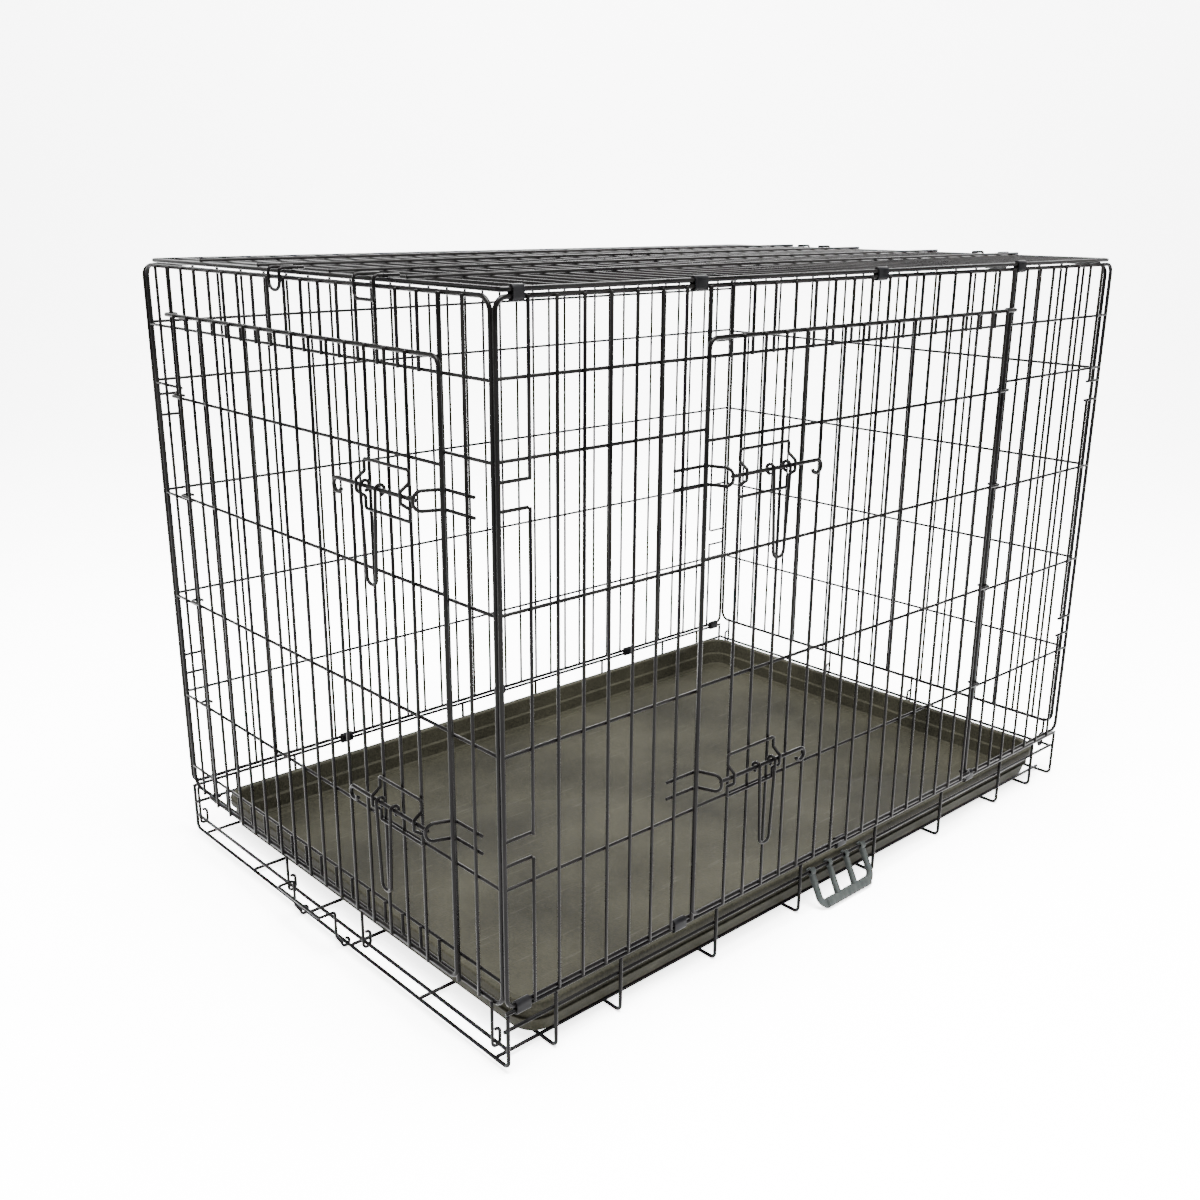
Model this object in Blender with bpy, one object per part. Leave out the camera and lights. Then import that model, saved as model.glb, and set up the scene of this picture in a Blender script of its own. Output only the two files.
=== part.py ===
"""A folding wire dog crate with two doors, a slide-in plastic tray and a carry handle.

The crate stands on Z = 0 with its origin at the middle of its footprint. X runs across the
crate, Y runs along it with the front end at -Y, and the side with the long door faces +X.
"""

import math

import bmesh
import bpy
from mathutils import Matrix, Vector

# Overall sizes, in metres
CRATE_LENGTH = 1.0668      # over the side panels' corner wires
CRATE_WIDTH = 0.696        # between the outer flats of the two side panels' frames
SIDE_TOP = 0.7615          # centre of the side panels' top wire; other levels are shares of it
CLEARANCE = 0.0003         # gap left where two pieces touch
ROUNDING = 1e-7            # a vertex this close to a panel's weld plane lies on it
WELD_BITE = 0.0002         # how far a bent wire sinks into the wires that it is welded to

# Wire gauges, across the flats of their six-sided sections
THIN_WIRE = 0.0036
FRAME_WIRE = 0.0048
BASE_WIRE = 0.0042
BOLT_WIRE = 0.0045

# Panels
SIDE_INTERVALS = 33        # spaces between the side panels' upright wires
END_INTERVALS = 20
END_SIDE_GAP = 0.0023      # between an end panel's edge and the side panel's frame
PANEL_CORNER = 0.008       # bend radius of a panel's frame
SIDE_SHARES = (0.27315, 0.45437, 0.63559, 0.81812, 0.91136)
FRONT_BOTTOM = 0.074
FRONT_SHARES = (0.13526, 0.27052, 0.45305, 0.63296, 0.81550, 0.90873)
REAR_BOTTOM = 0.084
REAR_SHARES = (0.27315, 0.45437, 0.63559, 0.81550)
LID_END_INSET = 0.0075     # of the lid's end wires from the side panels' corner wires
LID_FAR_INSET = 0.0076
LID_SHARES = (0.599, 0.2098, -0.2098, -0.599)
LID_WIRE_SHIFT = 0.008     # the lid's cross wires stand this far past the side uprights
HINGE_REACH = 0.0059       # between the two wires that a hinge clip holds

# Doorways, counted in upright wires from the panel's first edge
SIDE_DOORWAY = (8, 25)
FRONT_DOORWAY = (2, 18)
DOOR_CORNER = 0.010
SIDE_DOOR_LIFT = 0.0081    # of the door's lowest wire over the panel's
SIDE_DOOR_RISE = 0.019     # of the door's highest wire over the doorway's
SIDE_DOOR_SHARES = (0.28496, 0.46619, 0.64609, 0.80630)
FRONT_DOOR_LIFT = 0.0075
FRONT_DOOR_RISE = 0.016
FRONT_DOOR_SHARES = (0.28365, 0.46488, 0.64347, 0.80368)
DOOR_OVERLAP = 0.0055      # how far a door's free edge reaches past the doorway's upright
HINGE_CURL = 0.0055        # from the doorway's upright to the door's frame wire
CURL_TURN = 200.0
FIRST_WIRE_FROM_EDGE = 0.046

# Slide bolts, measured from the door's free edge
BOLT_SHARES = (0.31911, 0.75772)
GUIDE_NEAR = 0.0416
GUIDE_WIDTH = 0.0754
GUIDE_HALF_HEIGHT = 0.0245
GUIDE_RISE = 0.0055        # half height of the bulge that spans the bolt
BOLT_TIP = 0.0235
BOLT_LENGTH = 0.135
BOLT_TRAVEL = 0.030
BOLT_CURL_RADIUS = 0.007
BOLT_CURL_TURN = 250.0
HANDLE_MIDDLE = 0.0957
LATCH_CURL = 0.0051        # radius of the handle's curls round the bolt
LATCH_TURN = 270.0
LATCH_HANDLE_DROP = 0.095
LATCH_HANDLE_WIDTH = 0.022
KEEPER_HALF_HEIGHT = 0.0095
KEEPER_REACH = 0.0150      # from the doorway's upright to the keeper's closed end
KEEPER_TAIL = 0.0410
KEEPER_ROOM = 0.0007       # between the bolt and the keeper, beyond the usual clearance
SMALL_BEND = 0.004         # bend radius of the keepers, the lid's loops and the tray stop
PULL_BEND = 0.008

# Base
RAIL_LEVEL = 0.070
SIDE_MID_LEVEL = 0.047
FRONT_MID_LEVEL = 0.027
REAR_MID_LEVEL = 0.047
BOW_SHARES = (0.1427, 0.4279, 0.7107, 0.8822, 1.0)
RUNNER_SHARES = (0.1389, 0.5440, 0.9346)
END_SETBACK = 0.0005       # of the end panels from the side panels' corner wires
BOW_BEND = 0.007
HOOK_RADIUS = 0.0047       # of a hook's wire centre round the wire that it turns on
HOOK_EYE_LENGTH = 0.010
END_HOOK_GAPS = (0.4, 7.5, 12.5, 19.6)

# Tray
TRAY_FRONT_GAP = 0.0330
TRAY_REAR_GAP = 0.0185
TRAY_SIDE_GAP = 0.0059
TRAY_HEIGHT = 0.044
TRAY_WALL = 0.0025
TRAY_CORNER = 0.035
TRAY_BEAD_INSET = 0.030
TRAY_BEAD_WIDTH = 0.002
TRAY_BEAD_HEIGHT = 0.0015
TRAY_BEAD_SLOPE = 0.004
RIM_WIDTH = 0.0100
RIM_EDGE = 0.0015
STEP_HEIGHT = 0.0180       # of the ledge between the tray's lower wall and its recess
STEP_WIDTH = 0.0040
LOWER_WALL_INSET = 0.0110
RECESS_DEPTH = 0.0070
RECESS_TOP = 0.0330

# Hinge clips, end tab slots and the top's loops
CLIP_LENGTH = 0.018
CLIP_WALL = 0.0010
CLIP_GAPS = (0.58, 7.5, 16.5, 25.5)
CORNER_CLIP_ROOM = 0.0012  # between the corner clip and the bend and upright beside it
SLOT_SHARES = (0.32305, 0.77741)
SLOT_HALF_HEIGHT = 0.013
FRONT_LOOPS = ((-0.0325, 0.022), (0.4668, 0.034))   # share of an end's half, and width
REAR_LOOPS = ((-0.4815, 0.042), (0.4815, 0.042))
LOOP_DROP = 0.022
LOOP_ROOM = 0.0014         # between a loop's ends and the lid's last cross wire

# Tray stop
STOP_SHARES = (-0.1684, 0.1123)
STOP_HEIGHT = 0.0440
STOP_REACH = 0.028
STOP_LEAN = 0.0070         # the legs lean out this far to pass in front of the end's hooks
STOP_FOOT = 0.0115         # where they turn upright
STOP_TURN = 270.0

# Carry handle
HANDLE_CENTRE = 0.002
HANDLE_LENGTH = 0.104
HANDLE_DROP = 0.0468
HANDLE_BAR = 0.0090
HANDLE_ARM = 0.0050
HANDLE_SWING = math.radians(27)
HANDLE_HOOKS = ((-0.051, 0.007), (-0.017, 0.006), (0.017, 0.006), (0.051, 0.007))
HANDLE_EYE = 0.0028
HANDLE_HOOK_WALL = 0.0026
HANDLE_ARM_START = 0.0010
HANDLE_ARM_INSET = 0.0005
HANDLE_BAR_PAST = 0.004

# Places that follow from the sizes above
SIDE_HALF = CRATE_LENGTH / 2 - FRAME_WIRE / 2
SIDE_BOTTOM = RAIL_LEVEL + HINGE_REACH
SIDE_PITCH = 2 * SIDE_HALF / SIDE_INTERVALS
RAIL_X = CRATE_WIDTH / 2 - FRAME_WIRE / 2
SIDE_MID_X = RAIL_X - BASE_WIRE
END_HALF = RAIL_X - FRAME_WIRE - END_SIDE_GAP
END_PITCH = 2 * END_HALF / END_INTERVALS
END_Y = SIDE_HALF - END_SETBACK
END_PLANE = END_Y + FRAME_WIRE / 2
END_MID_Y = END_PLANE + THIN_WIRE / 2 - HOOK_RADIUS
TOP_LEVEL = SIDE_TOP + HINGE_REACH
END_TOP = TOP_LEVEL - FRAME_WIRE / 2 - FRAME_WIRE / math.sqrt(3) - CLEARANCE
SIDE_LEVELS = tuple(SIDE_TOP * share for share in SIDE_SHARES)
FRONT_LEVELS = tuple(SIDE_TOP * share for share in FRONT_SHARES)
REAR_LEVELS = tuple(SIDE_TOP * share for share in REAR_SHARES)
SLOT_LEVELS = tuple(SIDE_TOP * share for share in SLOT_SHARES)
BOLT_LEVELS = tuple(SIDE_TOP * share for share in BOLT_SHARES)
SIDE_DOOR_LEVELS = tuple(SIDE_TOP * share for share in SIDE_DOOR_SHARES)
FRONT_DOOR_LEVELS = tuple(SIDE_TOP * share for share in FRONT_DOOR_SHARES)
LID_HALF_LENGTH = SIDE_HALF - LID_END_INSET
LID_FAR_EDGE = RAIL_X - LID_FAR_INSET
LID_LEVELS = tuple(RAIL_X * share for share in LID_SHARES)
LAST_LID_WIRE = SIDE_HALF - SIDE_PITCH + LID_WIRE_SHIFT
LOOP_END = LAST_LID_WIRE + THIN_WIRE / 2 + LOOP_ROOM
BOW_STATIONS = tuple(END_Y * share for share in BOW_SHARES)
RUNNER_STATIONS = tuple(RAIL_X * share for share in RUNNER_SHARES)
STOP_STATIONS = tuple(END_HALF * share for share in STOP_SHARES)
RUNNER_TOP = 2 * BASE_WIRE
STOP_LEVEL = HOOK_RADIUS + THIN_WIRE / 2 + CLEARANCE
DOOR_PLANE = HINGE_CURL + FRAME_WIRE / 2
GUIDE_PLANE = DOOR_PLANE + THIN_WIRE
BOLT_OUT = GUIDE_PLANE + CLEARANCE + LATCH_CURL + THIN_WIRE / 2
OVER_BOLT = BOLT_OUT + BOLT_WIRE / 2 + CLEARANCE + THIN_WIRE / 2

WIRE_BLACK = (0.012, 0.012, 0.013, 1.0)
SLEEVE_BLACK = (0.006, 0.006, 0.007, 1.0)
TRAY_GREEN = (0.030, 0.036, 0.030, 1.0)
HANDLE_GREY = (0.035, 0.042, 0.040, 1.0)


def clear_scene():
    """Remove whatever the file holds before the crate is built."""
    for old in list(bpy.data.objects):
        bpy.data.objects.remove(old, do_unlink=True)


def material(name, colour, roughness, metallic):
    made = bpy.data.materials.get(name)
    if made is None:
        made = bpy.data.materials.new(name)
        made.use_nodes = True
        shader = made.node_tree.nodes["Principled BSDF"]
        shader.inputs["Base Color"].default_value = colour
        shader.inputs["Roughness"].default_value = roughness
        shader.inputs["Metallic"].default_value = metallic
    return made


def wire_finish():
    return material("black_coated_wire", WIRE_BLACK, 0.35, 0.6)


def add_object(name, mesh, finish, place=None):
    thing = bpy.data.objects.new(name, mesh)
    mesh.materials.append(finish)
    mesh.shade_smooth()
    mesh.set_sharp_from_angle(angle=math.radians(50))
    bpy.context.scene.collection.objects.link(thing)
    if place is not None:
        thing.matrix_world = place
    return thing


def section_of(across, flat, side, sides):
    """A wire's section of four or six sides, with two flats square to the way flat."""
    half = across / 2
    short = half / math.sqrt(3)
    corners = ((short, half), (-short, half), (-2 * short, 0.0),
               (-short, -half), (short, -half), (2 * short, 0.0))
    if sides == 4:
        corners = ((half, half), (-half, half), (-half, -half), (half, -half))
    return [side * along + flat * out for along, out in corners]


def sweep(bm, points, across, flat, closed=False, sides=6):
    """Carry a flat-sided section along the points, with a mitre at each bend."""
    points = [Vector(point) for point in points]
    count = len(points)
    runs = [(points[(i + 1) % count] - points[i]).normalized() for i in range(count)]
    flat = Vector(flat)
    flat = (flat - runs[0] * flat.dot(runs[0])).normalized()
    section = section_of(across, flat, runs[0].cross(flat), sides)
    rings = []
    for i, point in enumerate(points):
        before = runs[i - 1] if (closed or i) else runs[0]
        after = runs[i] if (closed or i < count - 1) else before
        if closed and i == 0:
            section = [c - after * c.dot(after) for c in section]
            mitre = (before + after).normalized()
            cut = [c - after * (c.dot(mitre) / after.dot(mitre)) for c in section]
        else:
            mitre = (before + after).normalized()
            cut = [c - before * (c.dot(mitre) / before.dot(mitre)) for c in section]
            section = [c - after * c.dot(after) for c in cut]
        rings.append([bm.verts.new(point + c) for c in cut])
    last = count if closed else count - 1
    for i in range(last):
        one, two = rings[i], rings[(i + 1) % count]
        for k in range(sides):
            bm.faces.new((one[k], one[k - 1], two[k - 1], two[k]))
    if not closed:
        bm.faces.new(rings[0])
        bm.faces.new(list(reversed(rings[-1])))


def arc(centre, start, turn, axis, steps):
    """Points round centre from the offset start, turned by turn degrees about axis."""
    centre, start = Vector(centre), Vector(start)
    return [centre + Matrix.Rotation(math.radians(turn) * i / steps, 3, Vector(axis)) @ start
            for i in range(steps + 1)]


def rounded(points, radius, steps=3, closed=False):
    """The polyline with each of its corners replaced by an arc of the radius."""
    points = [Vector(point) for point in points]
    count = len(points)
    out = []
    for i, point in enumerate(points):
        if not closed and i in (0, count - 1):
            out.append(point)
            continue
        back = (points[i - 1] - point).normalized()
        ahead = (points[(i + 1) % count] - point).normalized()
        half = back.angle(ahead) / 2
        if abs(half - math.pi / 2) < 0.02:
            out.append(point)
            continue
        reach = radius / math.tan(half)
        middle = point + (back + ahead).normalized() * (radius / math.sin(half))
        first = point + back * reach
        axis = (first - middle).cross(point + ahead * reach - middle).normalized()
        turn = 180 - math.degrees(2 * half)
        out.extend(arc(middle, first - middle, turn, axis, steps))
    return out


def mesh_of(name, build):
    """A mesh of what build draws, with its weld plane exactly flat and its faces out."""
    bm = bmesh.new()
    build(bm)
    for vert in bm.verts:
        if abs(vert.co.z) < ROUNDING:
            vert.co.z = 0.0
    bmesh.ops.recalc_face_normals(bm, faces=bm.faces)
    mesh = bpy.data.meshes.new(name)
    bm.to_mesh(mesh)
    bm.free()
    return mesh


def welded(name, builds):
    """One mesh that joins the shapes of all the builds, as welding joins wires."""
    meshes = [mesh_of(f"{name}_{i}", build) for i, build in enumerate(builds)]
    parts = [bpy.data.objects.new(mesh.name, mesh) for mesh in meshes]
    for part in parts:
        bpy.context.scene.collection.objects.link(part)
    for part in parts[1:]:
        union = parts[0].modifiers.new(part.name, "BOOLEAN")
        union.operation = "UNION"
        union.object = part
    graph = bpy.context.evaluated_depsgraph_get()
    joined = bpy.data.meshes.new_from_object(parts[0].evaluated_get(graph))
    joined.name = name
    for part in parts:
        bpy.data.objects.remove(part, do_unlink=True)
    return joined


def panel_place(origin, right, up, out):
    """The matrix that takes a panel's own right, up and out directions to the crate's."""
    place = Matrix.Identity(4)
    for column, axis in enumerate((right, up, out)):
        place.col[column][:3] = axis
    place.col[3][:3] = origin
    return place


def straight(bm, start, end, across):
    """A straight wire of a panel; there are so many that the thin ones have four sides."""
    sweep(bm, (start, end), across, (0, 0, 1), sides=4 if across == THIN_WIRE else 6)


def frame_ring(bm, left, right, bottom, top, corner, across):
    """A closed frame of wire that lies just under the plane where the wires are welded."""
    depth = -across / 2
    corners = ((left, bottom, depth), (right, bottom, depth), (right, top, depth),
               (left, top, depth))
    sweep(bm, rounded(corners, corner, closed=True), across, (0, 0, 1), closed=True)


def cross_wires(bm, left, right, levels, welded_levels):
    """Wires along the panel behind its uprights; only the welded ones touch them."""
    for level in levels:
        depth = -THIN_WIRE / 2 - (0 if level in welded_levels else CLEARANCE)
        straight(bm, (left, level, depth), (right, level, depth), THIN_WIRE)


def uprights(bm, spans):
    """Wires across the panel in front of its frame, from (place, bottom, top, gauge)."""
    for place, bottom, top, across in spans:
        depth = across / 2
        straight(bm, (place, bottom, depth), (place, top, depth), across)


def place_along(half, pitch, index):
    return -half + pitch * index


def past(level, sign):
    """The end of an upright, on the flat of the wire at the level."""
    return level + sign * THIN_WIRE / 5


def slot_stubs(bm, half, pitch):
    """Short wires that close the gaps left in the first and last upright for end tabs."""
    for sign in (-1, 1):
        for level in SLOT_LEVELS:
            for step in (-SLOT_HALF_HEIGHT, SLOT_HALF_HEIGHT):
                inner = sign * (half - pitch)
                start = (sign * half, level + step, -THIN_WIRE / 2)
                end = (inner - sign * THIN_WIRE / 2, level + step, -THIN_WIRE / 2)
                straight(bm, start, end, THIN_WIRE)


def slotted_spans(place, bottom, top):
    """An upright interrupted at each slot level."""
    spans = []
    low = bottom
    for level in SLOT_LEVELS:
        spans.append((place, low, past(level - SLOT_HALF_HEIGHT, 1), THIN_WIRE))
        low = past(level + SLOT_HALF_HEIGHT, -1)
    spans.append((place, low, top, THIN_WIRE))
    return spans


def side_spans(doorway):
    """Every upright of a side panel; those inside the doorway stop at the wire over it."""
    bottom, top = past(SIDE_BOTTOM, -1), past(SIDE_TOP, 1)
    spans = []
    for index in range(1, SIDE_INTERVALS):
        place = place_along(SIDE_HALF, SIDE_PITCH, index)
        if index in (1, SIDE_INTERVALS - 1):
            spans.extend(slotted_spans(place, bottom, top))
        elif doorway and index in doorway:
            spans.append((place, bottom, top, FRAME_WIRE))
        elif doorway and doorway[0] < index < doorway[1]:
            spans.append((place, past(SIDE_LEVELS[-1], -1), top, THIN_WIRE))
        else:
            spans.append((place, bottom, top, THIN_WIRE))
    return spans


def keeper(name, place, upright, toward, level):
    """A bent wire behind two uprights whose closed end stands out through the door."""
    far, near = upright - toward * KEEPER_TAIL, upright + toward * KEEPER_REACH / 3
    end, back = upright + toward * KEEPER_REACH, -THIN_WIRE / 2
    out = FRAME_WIRE / 2 + OVER_BOLT + KEEPER_ROOM
    low, high = level - KEEPER_HALF_HEIGHT, level + KEEPER_HALF_HEIGHT
    points = ((far, low, back), (near, low, back), (end, low, out), (end, high, out),
              (near, high, back), (far, high, back))

    def build(bm):
        sweep(bm, rounded(points, SMALL_BEND, 1), THIN_WIRE, (0, 0, 1))

    return add_object(name, mesh_of(name, build), wire_finish(), place)


def side_levels_build(doorway):
    """The side panel's long wires, cut away between the doorway's uprights."""
    def build(bm):
        slot_stubs(bm, SIDE_HALF, SIDE_PITCH)
        if not doorway:
            cross_wires(bm, -SIDE_HALF, SIDE_HALF, SIDE_LEVELS, ())
            return
        first, last = (place_along(SIDE_HALF, SIDE_PITCH, i) for i in doorway)
        reach = THIN_WIRE / 5
        cross_wires(bm, -SIDE_HALF, SIDE_HALF, SIDE_LEVELS[-1:], SIDE_LEVELS[-1:])
        cross_wires(bm, -SIDE_HALF, first + reach, SIDE_LEVELS[:-1], ())
        cross_wires(bm, last - reach, SIDE_HALF, SIDE_LEVELS[:-1], ())

    return build


def side_panel(name, place, doorway):
    def ring(bm):
        frame_ring(bm, -SIDE_HALF, SIDE_HALF, SIDE_BOTTOM, SIDE_TOP, PANEL_CORNER, FRAME_WIRE)

    spans = side_spans(doorway)
    mesh = welded(name, (lambda bm: uprights(bm, spans), ring, side_levels_build(doorway)))
    return add_object(name, mesh, wire_finish(), place)


def end_spans(doorway, bottom_level):
    """Every upright of an end panel; the doorway's short ones are left out between sills."""
    bottom, top = past(bottom_level, -1), past(END_TOP, 1)
    spans = []
    for index in range(1, END_INTERVALS):
        place = place_along(END_HALF, END_PITCH, index)
        if doorway and index in doorway:
            spans.append((place, bottom, top, FRAME_WIRE))
        elif doorway and doorway[0] < index < doorway[1]:
            spans.append((place, bottom, past(FRONT_LEVELS[0], 1), THIN_WIRE))
            spans.append((place, past(FRONT_LEVELS[-1], -1), top, THIN_WIRE))
        else:
            spans.append((place, bottom, top, THIN_WIRE))
    return spans


def end_hooks(bm, ring_level, pivot_level):
    """Hooks on the panel's bottom wire that turn on a wire of the base."""
    out = THIN_WIRE / 2
    middle = out - HOOK_RADIUS
    for gap in END_HOOK_GAPS:
        place = place_along(END_HALF, END_PITCH, gap)
        curl = arc((place, pivot_level, middle), (0, 0, HOOK_RADIUS), 180, (1, 0, 0), 4)
        lift = Vector((0, HOOK_EYE_LENGTH, 0))
        back = arc((place, pivot_level + lift.y, middle), (0, 0, -HOOK_RADIUS), 110,
                   (1, 0, 0), 2)
        shank = Vector((place, past(ring_level, 1), out))
        sweep(bm, [shank] + curl + back, THIN_WIRE, (0, 0, 1))


def end_levels_build(doorway, levels):
    """The end panel's cross wires, cut away between the doorway's uprights."""
    def build(bm):
        if not doorway:
            cross_wires(bm, -END_HALF, END_HALF, levels, ())
            return
        first, last = (place_along(END_HALF, END_PITCH, i) for i in doorway)
        reach = THIN_WIRE / 5
        cross_wires(bm, -END_HALF, END_HALF, (levels[0], levels[-1]), levels)
        cross_wires(bm, -END_HALF, first + reach, levels[1:-1], ())
        cross_wires(bm, last - reach, END_HALF, levels[1:-1], ())

    return build


def end_panel(name, place, doorway, bottom_level, levels, pivot_level):
    def outer(bm):
        uprights(bm, end_spans(doorway, bottom_level))
        end_hooks(bm, bottom_level, pivot_level)

    def ring(bm):
        frame_ring(bm, -END_HALF, END_HALF, bottom_level, END_TOP, PANEL_CORNER, FRAME_WIRE)

    mesh = welded(name, (outer, ring, end_levels_build(doorway, levels)))
    return add_object(name, mesh, wire_finish(), place)


def lid_loop(name, place, toward, station, width):
    """A loop on the lid's end wire that hangs down over an end panel."""
    out = THIN_WIRE / 2
    reach = toward * (END_PLANE + THIN_WIRE + CLEARANCE + out)
    tail = toward * LOOP_END
    one, two = -station - width / 2, -station + width / 2
    points = ((tail, one, out), (reach, one, out), (reach, one, out - LOOP_DROP),
              (reach, two, out - LOOP_DROP), (reach, two, out), (tail, two, out))

    def build(bm):
        sweep(bm, rounded(points, SMALL_BEND, 1), THIN_WIRE, (0, 0, 1))

    return add_object(name, mesh_of(name, build), wire_finish(), place)


def lid_loops(place):
    for word, toward, loops in (("front", -1, FRONT_LOOPS), ("rear", 1, REAR_LOOPS)):
        for number, (share, width) in enumerate(loops, 1):
            lid_loop(f"lid_{word}_loop_{number}", place, toward, END_HALF * share, width)


def top_panel(name, place):
    """The lid; its own upright direction runs across the crate, from the hinge."""
    bottom, top = past(-RAIL_X, -1), past(LID_FAR_EDGE, 1)
    spans = [(place_along(SIDE_HALF, SIDE_PITCH, index) + LID_WIRE_SHIFT, bottom, top,
              THIN_WIRE) for index in range(1, SIDE_INTERVALS)]

    def outer(bm):
        uprights(bm, spans)

    def ring(bm):
        frame_ring(bm, -LID_HALF_LENGTH, LID_HALF_LENGTH, -RAIL_X, LID_FAR_EDGE,
                   PANEL_CORNER, FRAME_WIRE)

    def inner(bm):
        cross_wires(bm, -LID_HALF_LENGTH, LID_HALF_LENGTH, LID_LEVELS, ())

    return add_object(name, welded(name, (outer, ring, inner)), wire_finish(), place)


def door_frame(bm, hand, width, bottom, top):
    """The door's frame wire, with each end curled round the doorway's upright."""
    depth = -FRAME_WIRE / 2
    edge = hand * width
    first = [(point.x, bottom, point.z) for point in door_curl(hand, depth)]
    last = [(point.x, top, point.z) for point in door_curl(hand, depth)]
    bends = rounded(((0, bottom, depth), (edge, bottom, depth), (edge, top, depth),
                     (0, top, depth)), DOOR_CORNER)
    points = list(reversed(first)) + [tuple(p) for p in bends[1:-1]] + last
    sweep(bm, points, FRAME_WIRE, door_end_flat(hand))


def door_curl(hand, depth):
    """The curl's points, from where it leaves the wire's plane to its loose end."""
    radius = (0, 0, DOOR_PLANE + depth)
    return arc((0, 0, -DOOR_PLANE), radius, -hand * CURL_TURN, (0, 1, 0), 5)


def door_end_flat(hand):
    """The way that a curl's flats face at its loose end."""
    return Matrix.Rotation(math.radians(-hand * CURL_TURN), 3, "Y") @ Vector((0, 0, 1))


def door_wires(bm, hand, width, levels, welded_level):
    """The door's cross wires, curled round the doorway's upright like the frame."""
    for level in levels:
        depth = -THIN_WIRE / 2 - (0 if level == welded_level else CLEARANCE)
        curl = [(point.x, level, point.z) for point in door_curl(hand, depth)]
        points = list(reversed(curl)) + [(hand * width, level, depth)]
        sweep(bm, points, THIN_WIRE, door_end_flat(hand))


def guide(bm, hand, width, level):
    """A bent loop on the door's uprights whose two sides stand out over the bolt."""
    low = THIN_WIRE * 1.5 - WELD_BITE
    high = OVER_BOLT - DOOR_PLANE
    near, far = hand * (width - GUIDE_NEAR), hand * (width - GUIDE_NEAR - GUIDE_WIDTH)
    slope = GUIDE_RISE + (high - low) * 0.7
    heights = ((-GUIDE_HALF_HEIGHT, low), (-slope, low), (-GUIDE_RISE, high),
               (GUIDE_RISE, high), (slope, low), (GUIDE_HALF_HEIGHT, low))
    up = [(near, level + rise, out) for rise, out in heights]
    down = [(far, level + rise, out) for rise, out in reversed(heights)]
    sweep(bm, up + down, THIN_WIRE, (0, 0, 1), closed=True)


def door(name, place, hand, width, bottom, top, levels, intervals):
    """A door whose own origin is its hinge line; hand is the way that it reaches."""
    pitch = (width - DOOR_OVERLAP) / intervals
    spans = []
    for index in range(intervals - 1):
        reach = hand * (width - FIRST_WIRE_FROM_EDGE - pitch * index)
        spans.append((reach, past(bottom, -1), past(top, 1), THIN_WIRE))

    def outer(bm):
        uprights(bm, spans)

    def frame(bm):
        door_frame(bm, hand, width, bottom, top)

    def wires(bm):
        door_wires(bm, hand, width, levels, levels[1])

    def guides(bm):
        for level in BOLT_LEVELS:
            guide(bm, hand, width, level)

    mesh = welded(name, (outer, frame, wires, guides))
    mesh.transform(Matrix.Translation((0, 0, DOOR_PLANE)))
    return add_object(name, mesh, wire_finish(), place)


def bolt(name, door_place, hand, width, level):
    """A slide bolt with its far end curled; its own origin is on its line at the tip."""
    middle = (-hand * BOLT_LENGTH, -BOLT_CURL_RADIUS, 0)
    curl = arc(middle, (0, BOLT_CURL_RADIUS, 0), hand * BOLT_CURL_TURN, (0, 0, 1), 6)

    def build(bm):
        sweep(bm, [Vector((0, 0, 0))] + curl, BOLT_WIRE, (0, 0, 1))

    spot = Matrix.Translation((hand * (width - BOLT_TIP), level, BOLT_OUT))
    return add_object(name, mesh_of(name, build), wire_finish(), door_place @ spot)


def latch_handle(name, door_place, hand, width, level):
    """The wire pull that hangs on a bolt; its own origin is on the bolt's line."""
    half = LATCH_HANDLE_WIDTH / 2

    def build(bm):
        start = Vector((0, 0, LATCH_CURL))
        points = []
        for side in (-half, half):
            curl = arc((side, 0, 0), start, -LATCH_TURN, (1, 0, 0), 6)
            points.extend(reversed(curl) if side < 0 else curl)
        bottom = [Vector((side, -LATCH_HANDLE_DROP, LATCH_CURL)) for side in (-half, half)]
        count = len(points) // 2
        path = rounded([points[count - 1]] + bottom + [points[count]], PULL_BEND, 2)
        sweep(bm, points[:count - 1] + path + points[count + 1:], THIN_WIRE, (0, 1, 0))

    spot = Matrix.Translation((hand * (width - HANDLE_MIDDLE), level, BOLT_OUT))
    return add_object(name, mesh_of(name, build), wire_finish(), door_place @ spot)


def base_wire(name, points, flat):
    def build(bm):
        sweep(bm, points, BASE_WIRE, flat)

    return add_object(name, mesh_of(name, build), wire_finish())


def base_bow(name, station, floor_level):
    top = RAIL_LEVEL - BASE_WIRE / 2
    points = ((-RAIL_X, station, top), (-RAIL_X, station, floor_level),
              (RAIL_X, station, floor_level), (RAIL_X, station, top))
    return base_wire(name, rounded(points, BOW_BEND, 1), (1, 0, 0))


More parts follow.
